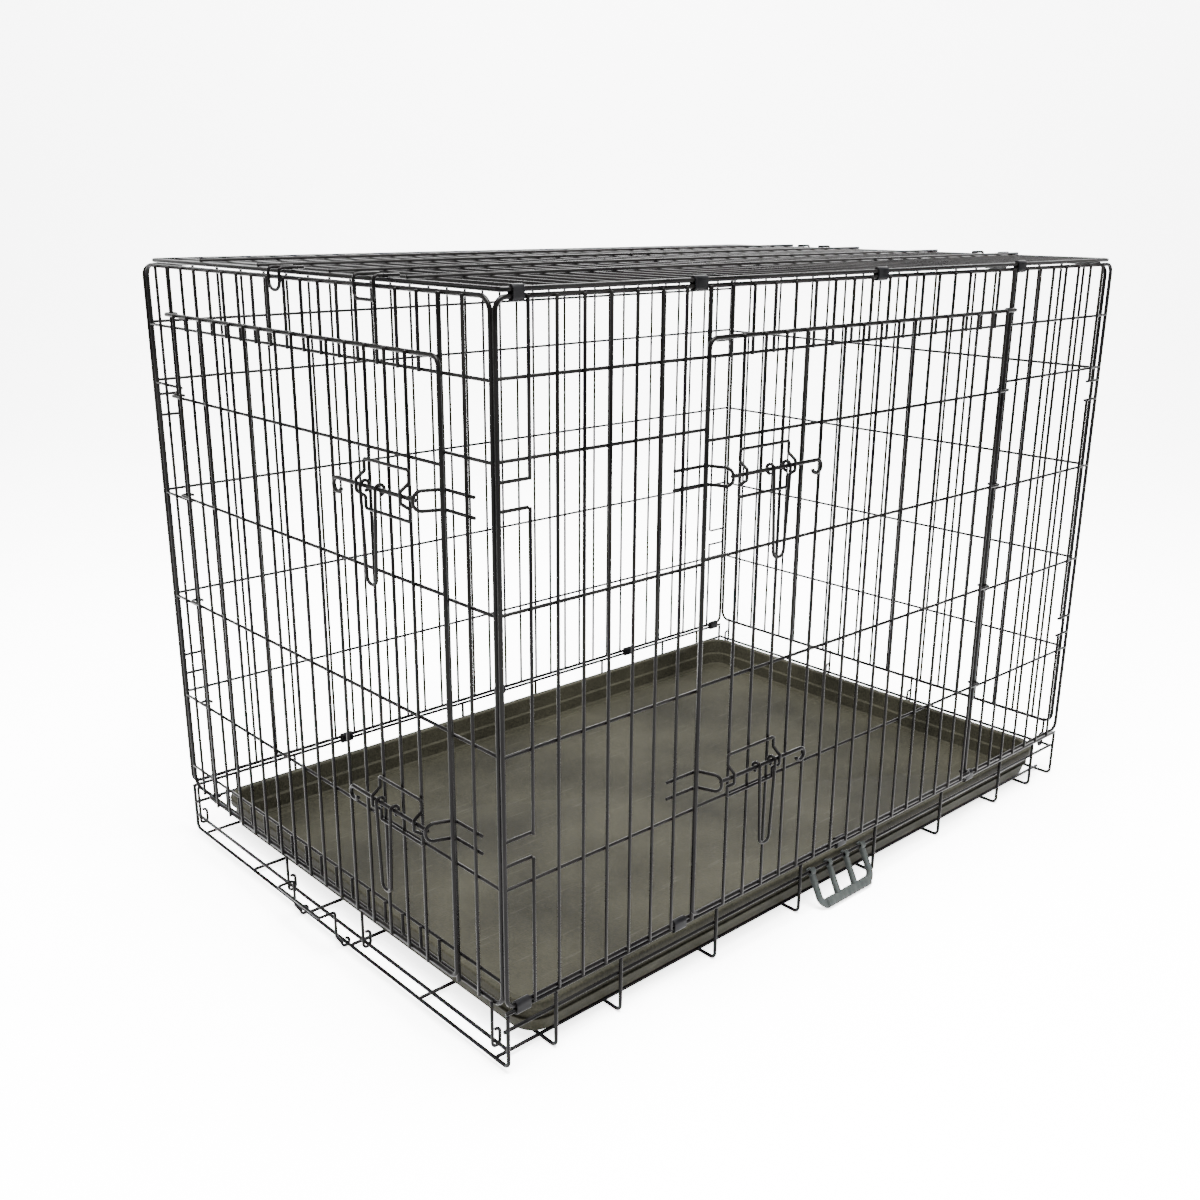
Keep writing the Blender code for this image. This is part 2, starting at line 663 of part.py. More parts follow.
def base():
    """Cross bows, side rails, tray runners and the wires that the ends turn on."""
    count = 0
    for toward in (-1, 1):
        for station in BOW_STATIONS:
            count += 1
            front = toward * station == -END_Y
            base_bow(f"base_bow_{count}", toward * station,
                     STOP_LEVEL if front else BASE_WIRE / 2)
    end = END_Y + BASE_WIRE / 2
    runner_front = -END_Y + BASE_WIRE / math.sqrt(3) + CLEARANCE
    for word, sign in (("near", 1), ("far", -1)):
        rail = ((sign * RAIL_X, -end, RAIL_LEVEL), (sign * RAIL_X, end, RAIL_LEVEL))
        base_wire(f"base_{word}_rail", rail, (0, 0, 1))
        mid = ((sign * SIDE_MID_X, -end, SIDE_MID_LEVEL),
               (sign * SIDE_MID_X, end, SIDE_MID_LEVEL))
        base_wire(f"base_{word}_mid_wire", mid, (1, 0, 0))
        for index, station in enumerate(RUNNER_STATIONS, 1):
            height = RUNNER_TOP - BASE_WIRE / 2
            run = ((sign * station, runner_front, height), (sign * station, end, height))
            base_wire(f"base_{word}_runner_{index}", run, (0, 0, 1))
    front = RAIL_X - BASE_WIRE / 2
    base_wire("base_front_pivot_wire", ((-front, -END_MID_Y, FRONT_MID_LEVEL),
                                        (front, -END_MID_Y, FRONT_MID_LEVEL)), (0, 0, 1))
    rear = SIDE_MID_X - BASE_WIRE / 2
    base_wire("base_rear_pivot_wire", ((-rear, END_MID_Y, REAR_MID_LEVEL),
                                       (rear, END_MID_Y, REAR_MID_LEVEL)), (0, 0, 1))


def tray_loop(bm, inset, height):
    """A rounded rectangle round the tray, inset from its rim."""
    front, rear = -END_Y + TRAY_FRONT_GAP + inset, END_Y - TRAY_REAR_GAP - inset
    half = SIDE_MID_X - TRAY_SIDE_GAP - inset
    corners = ((-half, front, height), (half, front, height), (half, rear, height),
               (-half, rear, height))
    points = rounded(corners, TRAY_CORNER - inset * 2 / 3, 3, closed=True)
    return [bm.verts.new(point) for point in points]


def tray():
    """A stepped pan: rim, recess, ledge, lower wall and a raised bead round its floor."""
    bottom = RUNNER_TOP + CLEARANCE
    wall, edge = TRAY_WALL, RIM_EDGE
    low, deep = LOWER_WALL_INSET, RECESS_DEPTH
    rim, bead = RIM_WIDTH, TRAY_BEAD_INSET
    ledge = rim + wall + STEP_WIDTH
    outside = ((low + edge, 0.0), (low, edge), (deep, STEP_HEIGHT - edge),
               (deep - wall, STEP_HEIGHT), (deep - wall, STEP_HEIGHT + edge),
               (deep, STEP_HEIGHT + wall), (deep, RECESS_TOP), (0.0, RECESS_TOP + edge),
               (0.0, TRAY_HEIGHT - edge), (edge, TRAY_HEIGHT))
    inside = ((rim - edge, TRAY_HEIGHT), (rim, TRAY_HEIGHT - edge),
              (rim + wall, STEP_HEIGHT + wall + edge), (ledge, STEP_HEIGHT + wall),
              (ledge + edge, wall + edge), (ledge + STEP_WIDTH, wall),
              (bead - TRAY_BEAD_SLOPE, wall), (bead, wall + TRAY_BEAD_HEIGHT),
              (bead + TRAY_BEAD_WIDTH, wall + TRAY_BEAD_HEIGHT),
              (bead + TRAY_BEAD_WIDTH + TRAY_BEAD_SLOPE, wall))

    def build(bm):
        loops = [tray_loop(bm, inset, bottom + rise) for inset, rise in outside + inside]
        for one, two in zip(loops, loops[1:]):
            for k in range(len(one)):
                bm.faces.new((one[k - 1], one[k], two[k], two[k - 1]))
        bm.faces.new(reversed(loops[0]))
        bm.faces.new(loops[-1])

    finish = material("moulded_tray", TRAY_GREEN, 0.55, 0.0)
    return add_object("slide_in_tray", mesh_of("slide_in_tray", build), finish)


def clip(name, centre, flip, low, high, inner, length=CLIP_LENGTH):
    """A short sleeve round two wires, one above the other; the crate's length is its own."""
    def outline(radius):
        over = arc((0, 0, high), (radius, 0, 0), -180, (0, 1, 0), 3)
        under = arc((0, 0, low), (-radius, 0, 0), -180, (0, 1, 0), 3)
        return over + under

    def build(bm):
        rings = []
        for radius in (inner, inner + CLIP_WALL):
            for end in (-length / 2, length / 2):
                rings.append([bm.verts.new((flip * RAIL_X + p.x, centre + end, p.z))
                              for p in outline(radius)])
        for one, two in ((0, 1), (1, 3), (3, 2), (2, 0)):
            for k in range(len(rings[one])):
                bm.faces.new((rings[one][k - 1], rings[one][k], rings[two][k],
                              rings[two][k - 1]))

    finish = material("black_sleeve", SLEEVE_BLACK, 0.45, 0.0)
    return add_object(name, mesh_of(name, build), finish)


def clips():
    """Hinge clips: the sides on the base's rails, and the lid on the near side."""
    inner = FRAME_WIRE * 2 / 3 + CLEARANCE
    for number, gap in enumerate(CLIP_GAPS, 1):
        place = place_along(SIDE_HALF, SIDE_PITCH, gap)
        clip(f"near_base_clip_{number}", place, 1, RAIL_LEVEL, SIDE_BOTTOM, inner)
        clip(f"far_base_clip_{number}", -place, -1, RAIL_LEVEL, SIDE_BOTTOM, inner)
        if number > 1:
            over = place + LID_WIRE_SHIFT / 2
            clip(f"lid_clip_{number}", over, 1, SIDE_TOP, TOP_LEVEL, inner)
    bend = -LID_HALF_LENGTH + PANEL_CORNER
    upright = place_along(SIDE_HALF, SIDE_PITCH, 1) - THIN_WIRE / 2
    length = upright - bend - 2 * CORNER_CLIP_ROOM
    clip("lid_clip_1", (bend + upright) / 2, 1, SIDE_TOP, TOP_LEVEL, inner, length)


def tray_stop():
    """The bent wire flap that keeps the tray in; its own origin is its hinge line."""
    def build(bm):
        one, two = STOP_STATIONS
        start = Vector((0, -HOOK_RADIUS, 0))
        first = arc((one, 0, 0), start, STOP_TURN, (1, 0, 0), 6)
        second = arc((two, 0, 0), start, STOP_TURN, (1, 0, 0), 6)
        out, leg = -HOOK_RADIUS - STOP_REACH, -HOOK_RADIUS - STOP_LEAN
        middle = ((one, -HOOK_RADIUS, 0), (one, leg, STOP_FOOT), (one, leg, STOP_HEIGHT),
                  (one, out, STOP_HEIGHT), (two, out, STOP_HEIGHT), (two, leg, STOP_HEIGHT),
                  (two, leg, STOP_FOOT), (two, -HOOK_RADIUS, 0))
        bends = rounded(middle, SMALL_BEND, 1)
        sweep(bm, list(reversed(first[1:])) + bends + second[1:], THIN_WIRE, (0, 0, 1))

    place = Matrix.Translation((0, -END_Y, STOP_LEVEL))
    return add_object("tray_stop", mesh_of("tray_stop", build), wire_finish(), place)


def slab(bm, outline, low, high):
    """A plate with the outline across the crate, from low to high along it."""
    one = [bm.verts.new((x, low, z)) for x, z in outline]
    two = [bm.verts.new((x, high, z)) for x, z in outline]
    for k in range(len(one)):
        bm.faces.new((one[k - 1], one[k], two[k], two[k - 1]))
    bm.faces.new(one)
    bm.faces.new(list(reversed(two)))


def hook_outline(turn):
    """A ring, open on the side away from the handle's bar."""
    radii = (HANDLE_EYE, HANDLE_EYE + HANDLE_HOOK_WALL)
    angles = [math.radians(-90 - turn / 2 + turn * k / 10) for k in range(11)]
    inner = [(radii[0] * math.cos(a), radii[0] * math.sin(a)) for a in angles]
    outer = [(radii[1] * math.cos(a), radii[1] * math.sin(a)) for a in reversed(angles)]
    return inner + outer


def carry_handle():
    """A plastic grip whose hooks snap on a base wire; its own origin is that wire."""
    def hooks(bm):
        for place, width in HANDLE_HOOKS:
            slab(bm, hook_outline(290), place - width / 2, place + width / 2)

    def arms(bm):
        half = HANDLE_ARM / 2
        top = -HANDLE_EYE - HANDLE_ARM_START
        shape = ((-half, -HANDLE_DROP), (half, -HANDLE_DROP), (half, top), (-half, top))
        for place, width in HANDLE_HOOKS:
            reach = width / 2 - HANDLE_ARM_INSET
            slab(bm, shape, place - reach, place + reach)

    def bar(bm):
        half, cut = HANDLE_BAR / 2, HANDLE_BAR / 4
        outline = ((half, cut), (cut, half), (-cut, half), (-half, cut), (-half, -cut),
                   (-cut, -half), (cut, -half), (half, -cut))
        reach = HANDLE_LENGTH / 2 + HANDLE_BAR_PAST
        slab(bm, [(x, z - HANDLE_DROP) for x, z in outline], -reach, reach)

    place = (Matrix.Translation((SIDE_MID_X, HANDLE_CENTRE, SIDE_MID_LEVEL))
             @ Matrix.Rotation(-HANDLE_SWING, 4, "Y"))
    finish = material("grey_handle_plastic", HANDLE_GREY, 0.5, 0.0)
    mesh = welded("carry_handle", (bar, arms, hooks))
    return add_object("carry_handle", mesh, finish, place)


def hung_door(name, panel_place_, upright, hand, width, bottom, top, levels, intervals):
    """A door on the doorway's upright, with its two bolts and their handles."""
    hinge = panel_place_ @ Matrix.Translation((upright, 0, FRAME_WIRE / 2))
    door(f"{name}_door", hinge, hand, width, bottom, top, levels, intervals)
    for word, level in zip(("lower", "upper"), BOLT_LEVELS):
        bolt(f"{name}_{word}_bolt", hinge, hand, width, level)
        latch_handle(f"{name}_{word}_bolt_handle", hinge, hand, width, level)


def keepers(name, place, upright, toward):
    for word, level in zip(("lower", "upper"), BOLT_LEVELS):
        keeper(f"{name}_{word}_keeper", place, upright, toward, level)


def doors(near_place, front_place):
    first, last = (place_along(SIDE_HALF, SIDE_PITCH, i) for i in SIDE_DOORWAY)
    keepers("side", near_place, first, 1)
    hung_door("side", near_place, last, -1, last - first + DOOR_OVERLAP,
              SIDE_BOTTOM + SIDE_DOOR_LIFT, SIDE_LEVELS[-1] + SIDE_DOOR_RISE,
              SIDE_DOOR_LEVELS, SIDE_DOORWAY[1] - SIDE_DOORWAY[0])
    first, last = (place_along(END_HALF, END_PITCH, i) for i in FRONT_DOORWAY)
    keepers("front", front_place, last, -1)
    hung_door("front", front_place, first, 1, last - first + DOOR_OVERLAP,
              FRONT_BOTTOM + FRONT_DOOR_LIFT, FRONT_LEVELS[-1] + FRONT_DOOR_RISE,
              FRONT_DOOR_LEVELS, FRONT_DOORWAY[1] - FRONT_DOORWAY[0])


def main():
    clear_scene()
    near = panel_place((CRATE_WIDTH / 2, 0, 0), (0, 1, 0), (0, 0, 1), (1, 0, 0))
    far = panel_place((-CRATE_WIDTH / 2, 0, 0), (0, -1, 0), (0, 0, 1), (-1, 0, 0))
    front = panel_place((0, -END_PLANE, 0), (1, 0, 0), (0, 0, 1), (0, -1, 0))
    rear = panel_place((0, END_PLANE, 0), (-1, 0, 0), (0, 0, 1), (0, 1, 0))
    lid = panel_place((0, 0, TOP_LEVEL + FRAME_WIRE / 2), (0, 1, 0), (-1, 0, 0), (0, 0, 1))
    side_panel("near_side_panel", near, SIDE_DOORWAY)
    side_panel("far_side_panel", far, None)
    end_panel("front_end_panel", front, FRONT_DOORWAY, FRONT_BOTTOM, FRONT_LEVELS,
              FRONT_MID_LEVEL)
    end_panel("rear_end_panel", rear, None, REAR_BOTTOM, REAR_LEVELS, REAR_MID_LEVEL)
    top_panel("top_panel", lid)
    lid_loops(lid)
    doors(near, front)
    base()
    tray()
    clips()
    tray_stop()
    carry_handle()


main()
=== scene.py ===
"""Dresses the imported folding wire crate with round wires, coatings, a floor and soft light.

Every size here repeats the model's own, in metres: X runs across the crate, Y along it
with the front end at -Y, and the side with the long door faces +X. A wire is a circle
carried along a path; all paths and circles are worked out as whole arrays.
"""

import logging
import math
from dataclasses import dataclass
from enum import Enum
from functools import cache
from typing import Iterable, Protocol, Sequence

import bpy
import numpy as np
from mathutils import Matrix

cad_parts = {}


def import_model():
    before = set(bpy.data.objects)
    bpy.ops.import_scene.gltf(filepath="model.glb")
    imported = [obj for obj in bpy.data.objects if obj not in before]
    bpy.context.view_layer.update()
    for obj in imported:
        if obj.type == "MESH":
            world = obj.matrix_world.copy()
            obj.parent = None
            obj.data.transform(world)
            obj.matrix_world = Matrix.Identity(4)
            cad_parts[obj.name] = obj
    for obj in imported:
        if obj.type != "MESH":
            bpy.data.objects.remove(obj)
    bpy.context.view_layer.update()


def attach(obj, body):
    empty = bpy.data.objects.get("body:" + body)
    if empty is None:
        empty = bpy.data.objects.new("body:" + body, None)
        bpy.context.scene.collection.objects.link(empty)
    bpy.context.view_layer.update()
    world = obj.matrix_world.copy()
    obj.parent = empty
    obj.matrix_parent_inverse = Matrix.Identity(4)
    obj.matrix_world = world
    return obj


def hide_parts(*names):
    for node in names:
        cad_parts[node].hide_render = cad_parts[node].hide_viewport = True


log = logging.getLogger("crate")
Array = np.ndarray
Point = Sequence[float]
Colour = tuple[float, float, float]
Spot = tuple[float, float, float]
# Vertices, four-cornered faces and three-cornered faces.
Surface = tuple[Array, Array, Array]

# Radii of the thin, heavy, base and bolt wires.
THIN: float = 0.0018
HEAVY: float = 0.0024
BASE: float = 0.0021
BOLT_RADIUS: float = 0.00225
# The room between wires that only cross, how deep welded wires sink into one another, a
# welded thin wire's middle from the face that it lies on, and how far its end runs past.
GAP: float = 0.0003
SINK: float = 0.0003
WELD: float = THIN - SINK / 2
PAST: float = THIN * 0.4
# The sides: half the length, the uprights' count and pitch, and the doorway's uprights.
SIDE_HALF: float = 0.5310
SIDE_COUNT: int = 32
SIDE_PITCH: float = 2 * SIDE_HALF / (SIDE_COUNT + 1)
SIDE_DOORWAY: tuple[int, int] = (8, 25)
# The same for the ends.
END_HALF: float = 0.3385
END_COUNT: int = 19
END_PITCH: float = 2 * END_HALF / (END_COUNT + 1)
FRONT_DOORWAY: tuple[int, int] = (2, 18)
# The base rails, the mid wires' height, and hinged wires' distance from each other.
RAIL_X: float = 0.3456
RAIL_Z: float = 0.070
MID_X: float = RAIL_X - 2 * BASE
MID_Z: float = 0.047
REACH: float = 0.0059
SIDE_BOTTOM: float = RAIL_Z + REACH
SIDE_TOP: float = 0.7615
# The lid, which is a little shorter than the sides and set toward the rear.
LID_Z: float = SIDE_TOP + REACH
LID_INSET: float = 0.0075
LID_SHIFT: float = 0.008
FRAME_BEND: float = 0.008
# The ends, which turn in their hooks on the pivot wires.
END_Y: float = 0.5305
END_PLANE: float = END_Y + HEAVY
END_TOP: float = LID_Z - 2 * HEAVY * (0.5 + 1 / math.sqrt(3)) - GAP
HOOK: float = 0.0047
PIVOT_Y: float = END_PLANE + THIN - HOOK
FRONT_PIVOT_Z: float = 0.027
# The doors' curls, and how far the door and its bolts stand out from the hinge line.
DOOR_CURL: float = 0.0055
DOOR_PLANE: float = DOOR_CURL + HEAVY
LATCH_CURL: float = 0.0051
BOLT_OUT: float = DOOR_PLANE + 2 * THIN + GAP + LATCH_CURL + THIN
OVER_BOLT: float = BOLT_OUT + BOLT_RADIUS + GAP + THIN
BOLT_LEVELS: tuple[float, float] = (0.243, 0.577)


class Socket:
    """A shader socket that takes part in plain Python sums."""

    def __init__(self, sheet: "NodeSheet", link: bpy.types.NodeSocket) -> None:
        """Keep the node sheet and the output that this stands for."""
        self.sheet, self.link = sheet, link

    def _math(self, operation: str, one: "Term", two: "Term") -> "Socket":
        """One Math node on two values."""
        return self.sheet.add("ShaderNodeMath", {"operation": operation}, {0: one, 1: two})

    def __add__(self, other: "Term") -> "Socket":
        """self + other, and other + self."""
        return self._math("ADD", self, other)

    def __sub__(self, other: "Term") -> "Socket":
        """self - other."""
        return self._math("SUBTRACT", self, other)

    def __rsub__(self, other: float) -> "Socket":
        """other - self."""
        return self._math("SUBTRACT", other, self)

    def __mul__(self, other: "Term") -> "Socket":
        """self times other, and other times self."""
        return self._math("MULTIPLY", self, other)

    __radd__, __rmul__ = __add__, __mul__


Term = Socket | float


class NodeSheet:
    """A material's node tree, to which nodes are added by one method."""

    def __init__(self, name: str) -> None:
        """Make an empty material with a shader and an output."""
        self.material = bpy.data.materials.new(name)
        self.material.use_nodes = True
        self.tree = self.material.node_tree
        self.shader = self.tree.nodes["Principled BSDF"]

    def put(self, socket: bpy.types.NodeSocket, value: Term | Point) -> None:
        """Link or set a node's input.

        Args:
            socket: the input.
            value: a Socket to link, or a value to set.
        """
        if isinstance(value, Socket):
            self.tree.links.new(value.link, socket)
        else:
            socket.default_value = value

    def add(self, kind: str, settings: dict, inputs: dict, output: int | str = 0) -> Socket:
        """Add one node.

        Args:
            kind: the node's type.
            settings: properties, which are set before the sockets.
            inputs: values or Sockets by input name or number.
            output: which output to return.
        Returns:
            The chosen output.
        """
        node = self.tree.nodes.new(kind)
        for key, value in settings.items():
            setattr(node, key, value)
        for key, value in inputs.items():
            self.put(node.inputs[key], value)
        return Socket(self, node.outputs[output])

    def place(self) -> Socket:
        """The piece's own coordinates, in metres."""
        return self.add("ShaderNodeTexCoord", {}, {}, "Object")

    def noise(self, scale: float, detail: float, stretch: Point = (1, 1, 1)) -> Socket:
        """A soft noise over the piece.

        Args:
            scale: its frequency per metre.
            detail: how many finer layers it has.
            stretch: the pattern's scale along X, Y and Z.
        Returns:
            A value about 0.5.
        """
        where = self.add("ShaderNodeMapping", {}, {"Vector": self.place(), "Scale": stretch})
        return self.add("ShaderNodeTexNoise", {},
                        {"Vector": where, "Scale": scale, "Detail": detail})

    def ramp(self, value: Socket, low: float, high: float) -> Socket:
        """The value's share of the way from low to high, held between 0 and 1.

        Args:
            value: the socket to read.
            low, high: the values that give 0 and 1.
        Returns:
            A value from 0 to 1.
        """
        return self.add("ShaderNodeMapRange", {"clamp": True},
                        {"Value": value, "From Min": low, "From Max": high})

    def blend(self, mask: Socket, one: Colour | Socket, two: Colour | Socket) -> Socket:
        """A colour between one and two.

        Args:
            mask: 0 gives one and 1 gives two.
            one, two: the two colours.
        Returns:
            The mixed colour.
        """
        one, two = (c if isinstance(c, Socket) else (*c, 1.0) for c in (one, two))
        return self.add("ShaderNodeMix", {"data_type": "RGBA"}, {0: mask, 6: one, 7: two}, 2)

    def bump(self, height: Socket, distance: float, strength: float) -> None:
        """Raise the surface by height times distance, in metres."""
        self.feed("Normal", self.add("ShaderNodeBump", {}, {
            "Height": height, "Distance": distance, "Strength": strength}))

    def feed(self, name: str, value: Term | Point) -> None:
        """Set or link one of the shader's own sockets."""
        self.put(self.shader.inputs[name], value)


@dataclass(frozen=True)
class MottledCoat:
    """A finish with soft patches and a fine grain: the wires', the sleeves', the handle's."""

    name: str
    dark: Colour
    light: Colour
    roughness: float
    patch: tuple[float, float, float, float] = (60.0, 3.0, 0.35, 0.68)
    patch_rough: float = 0.0
    grain: float = 700.0
    grain_rough: float = 0.15
    depth: float = 0.00008
    gloss: float = 0.02

    def material(self) -> bpy.types.Material:
        """Patches between the two colours, and a grain that is raised a little.

        Returns:
            The material.
        """
        sheet = NodeSheet(self.name)
        scale, detail, low, high = self.patch
        patches = sheet.ramp(sheet.noise(scale, detail), low, high)
        sheet.feed("Base Color", sheet.blend(patches, self.dark, self.light))
        grain = sheet.noise(self.grain, 2.0)
        sheet.feed("Roughness", self.roughness + patches * self.patch_rough
                   + (grain - 0.5) * self.grain_rough)
        sheet.feed("Specular IOR Level", self.gloss)
        sheet.bump(grain, self.depth, 0.6)
        return sheet.material


@dataclass(frozen=True)
class TrayPlastic:
    """The tray's moulded plastic, with a leathery stipple."""

    name: str = "tray_plastic"
    shade: Colour = (0.0012, 0.0012, 0.0008)
    light: Colour = (0.0150, 0.0143, 0.0098)
    rubbed: Colour = (0.028, 0.027, 0.021)
    roughness: float = 0.62
    gloss: float = 0.02

    def material(self) -> bpy.types.Material:
        """Dark green-grey plastic: stippled grain, faint clouds and fine scuffs.

        Returns:
            The material.
        """
        sheet = NodeSheet(self.name)
        clouds = sheet.ramp(sheet.noise(5.5, 6.0), 0.36, 0.66)
        speck = sheet.ramp(sheet.noise(420.0, 3.0), 0.30, 0.70)
        scuff = sheet.ramp(sheet.noise(26.0, 8.0, (9.0, 0.6, 1.0)), 0.62, 0.74)
        colour = sheet.blend(clouds * 0.45 + speck * 0.55, self.shade, self.light)
        sheet.feed("Base Color", sheet.blend(scuff * 0.25, colour, self.rubbed))
        sheet.feed("Roughness", self.roughness + (speck - 0.5) * 0.16 - scuff * 0.06)
        sheet.feed("Specular IOR Level", self.gloss)
        cells = sheet.add("ShaderNodeTexVoronoi", {"feature": "SMOOTH_F1"},
                          {"Vector": sheet.place(), "Scale": 520.0, "Smoothness": 0.6})
        sheet.bump(cells * 0.6 + speck * 0.4, 0.00022, 0.75)
        return sheet.material


class Finish(Enum):
    """Which finish a piece wears, by the record's material slot."""

    WIRE = "black_coated_wire"
    TRAY = "moulded_tray"
    SLEEVE = "black_sleeve"
    HANDLE = "grey_handle_plastic"

    @cache
    def material(self) -> bpy.types.Material:
        """The finish's material, made when it is first asked for."""
        return COATS[self].material()


COATS: dict[Finish, MottledCoat | TrayPlastic] = {
    Finish.WIRE: MottledCoat("black_wire_coat", (0.0011, 0.0010, 0.0010), (0.0030, 0.0028, 0.0027),
                             0.27, (11.0, 4.0, 0.42, 0.68), 0.12, 900.0, 0.10, 0.00006, 0.025),
    Finish.TRAY: TrayPlastic(),
    Finish.SLEEVE: MottledCoat("black_sleeve_coat", (0.0012, 0.0012, 0.0014),
                               (0.0040, 0.0040, 0.0043), 0.40),
    Finish.HANDLE: MottledCoat("grey_handle_plastic_finish", (0.014, 0.016, 0.0155),
                               (0.020, 0.022, 0.021), 0.50)}


def unit(vectors: Array) -> Array:
    """Each vector divided by its own length."""
    return vectors / np.linalg.norm(vectors, axis=-1, keepdims=True)


def tube(paths: Array, radius: float, closed: bool = False, sides: int = 12) -> Surface:
    """Circles of the radius carried along paths of equal point count.

    At each point the tangent is the sum of the unit steps before and after it. The side
    vector is the cross product of one fixed reference and the tangent, and the other is
    the cross product of tangent and side. An open wire gets two narrower rings at each
    end, so that its cut edge is rounded, and a pole.

    Args:
        paths: points, as wires by points by three, or one wire's points.
        radius: of the wire.
        closed: whether the last point joins the first.
        sides: points round the circle.
    Returns:
        The wires' surface.
    """
    paths = np.asarray(paths, float)
    if paths.ndim == 2:
        paths = paths[None]
    if closed:
        steps = unit(np.roll(paths, -1, 1) - paths)
        tangent = unit(steps + np.roll(steps, 1, 1))
        scale = np.ones(paths.shape[1])
    else:
        steps = unit(np.diff(paths, axis=1))
        tangent = unit(np.concatenate([steps[:, :1], steps[:, 1:] + steps[:, :-1],
                                       steps[:, -1:]], 1))
        first, last = tangent[:, :1], tangent[:, -1:]
        inset, narrow = 0.35 * radius, [0.62, 0.88, 1.0]
        head = [paths[:, :1] + first * inset * share for share in (0, 0.3, 1)]
        tail = [paths[:, -1:] - last * inset * share for share in (1, 0.3, 0)]
        paths = np.concatenate(head + [paths[:, 1:-1]] + tail, 1)
        tangent = np.concatenate([first] * 3 + [tangent[:, 1:-1]] + [last] * 3, 1)
        scale = np.concatenate([narrow, np.ones(paths.shape[1] - 6), narrow[::-1]])
    options = unit(np.array([[0.31, 0.25, 0.92], [0.92, 0.31, 0.25], [0.25, 0.92, 0.31],
                             [0.0, 0.0, 1.0], [1.0, 0.0, 0.0], [0.0, 1.0, 0.0]]))
    worst = [np.linalg.norm(np.cross(o, tangent), axis=-1).min() for o in options]
    side = unit(np.cross(options[int(np.argmax(worst))], tangent))
    rise = np.cross(tangent, side)
    angle = np.arange(sides) * 2 * np.pi / sides
    ring = (np.cos(angle)[:, None] * side[:, :, None] + np.sin(angle)[:, None] * rise[:, :, None])
    verts = paths[:, :, None] + ring * (radius * scale)[None, :, None, None]
    wires, rings = verts.shape[:2]
    start = np.arange(wires)[:, None] * rings * sides
    quads = (grid_faces(rings, sides, closed) + start[..., None]).reshape(-1, 4)
    flat = verts.reshape(-1, 3)
    if closed:
        return flat, quads, np.zeros((0, 3), int)
    poles = np.concatenate([paths[:, 0], paths[:, -1]])
    pole = len(flat) + np.arange(wires)[:, None].repeat(sides, 1)
    one = start + np.arange(sides)
    two = one + (rings - 1) * sides
    tris = np.concatenate([np.stack([pole, np.roll(one, -1, 1), one], -1),
                           np.stack([pole + wires, two, np.roll(two, -1, 1)], -1)])
    return np.concatenate([flat, poles]), quads, tris.reshape(-1, 3)


def bent(corners: Sequence[Point], radius: float | Point, steps: int,
         closed: bool = False) -> Array:
    """The path through the corners, with a circular arc at each of them.

    An arc's centre lies on the corner's bisector, at the radius over the sine of half
    the corner's angle; its points are the centre plus the radius times the cosine and
    sine of the angle turned, along the first spoke and the way of travel.

    Args:
        corners: the corner points.
        radius: of every bend, or of each corner's in turn.
        steps: spaces in each arc.
        closed: whether the last corner leads back to the first.
    Returns:
        The path's points.
    """
    points = np.asarray(corners, float)
    radius = np.broadcast_to(np.asarray(radius, float), len(points))[:, None]
    before = unit(np.roll(points, 1, 0) - points)
    after = unit(np.roll(points, -1, 0) - points)
    half = np.arccos(np.clip((before * after).sum(1, keepdims=True), -1, 1)) / 2
    middle = points + unit(before + after) * radius / np.sin(half)
    first = points + before * radius / np.tan(half)
    turn = (np.pi - 2 * half) * np.linspace(0, 1, steps + 1)
    arcs = (middle[:, None] + np.cos(turn)[..., None] * (first - middle)[:, None]
            - np.sin(turn)[..., None] * (before * radius)[:, None])
    if closed:
        return arcs.reshape(-1, 3)
    return np.concatenate([points[:1], arcs[1:-1].reshape(-1, 3), points[-1:]])


def hairpin(leg: Sequence[Point], axis: int, one: float, two: float) -> Array:
    """The leg's rows with one number put into them, then backwards with another.

    Args:
        leg: the rows without that number.
        axis: the number's place in a row.
        one, two: the number on the way out and on the way back.
    Returns:
        The rows.
    """
    leg = np.asarray(leg, float)
    return np.insert(np.concatenate([leg, leg[::-1]]), axis, np.repeat([one, two], len(leg)), 1)


def curl(centre: Point, start: Point, axis: Point, turn: float, steps: int) -> Array:
    """Points that go round an axis: start times cosine plus axis cross start times sine.

    Args:
        centre: of the curl.
        start: the first point, from the centre and square to the axis.
        axis: the unit axis.
        turn: in degrees.
        steps: spaces between the points.
    Returns:
        The points.
    """
    angle = np.radians(np.linspace(0, turn, steps + 1))[:, None]
    start, axis = np.asarray(start, float), np.asarray(axis, float)
    return np.asarray(centre) + np.cos(angle) * start + np.sin(angle) * np.cross(axis, start)


def grid_faces(rows: int, columns: int, wrap: bool) -> Array:
    """Four-cornered faces of a grid of points whose columns join round.

    Args:
        rows, columns: the points' numbers.
        wrap: whether the last row joins the first too.
    Returns:
        The faces.
    """
    number = np.arange(rows * columns).reshape(rows, columns)
    ahead = np.roll(number, -1, 0) if wrap else number[1:]
    here = number if wrap else number[:-1]
    return np.stack([here, np.roll(here, -1, 1), np.roll(ahead, -1, 1), ahead], -1).reshape(-1, 4)


def outward(verts: Array, quads: Array, tris: Array) -> Surface:
    """The same closed surface with its faces out.

    The volume is a sixth of the sum of each face's first corner dotted with the cross
    product of the next two, over the triangles that the faces split into; where it is
    negative, every face is turned round.

    Args:
        verts: vertices.
        quads, tris: the faces.
    Returns:
        The surface.
    """
    split = np.concatenate([quads[:, :3], quads[:, [0, 2, 3]], tris])
    one, two, three = (verts[split[:, k]] for k in range(3))
    if (one * np.cross(two, three)).sum() < 0:
        return verts, quads[:, ::-1], tris[:, ::-1]
    return verts, quads, tris


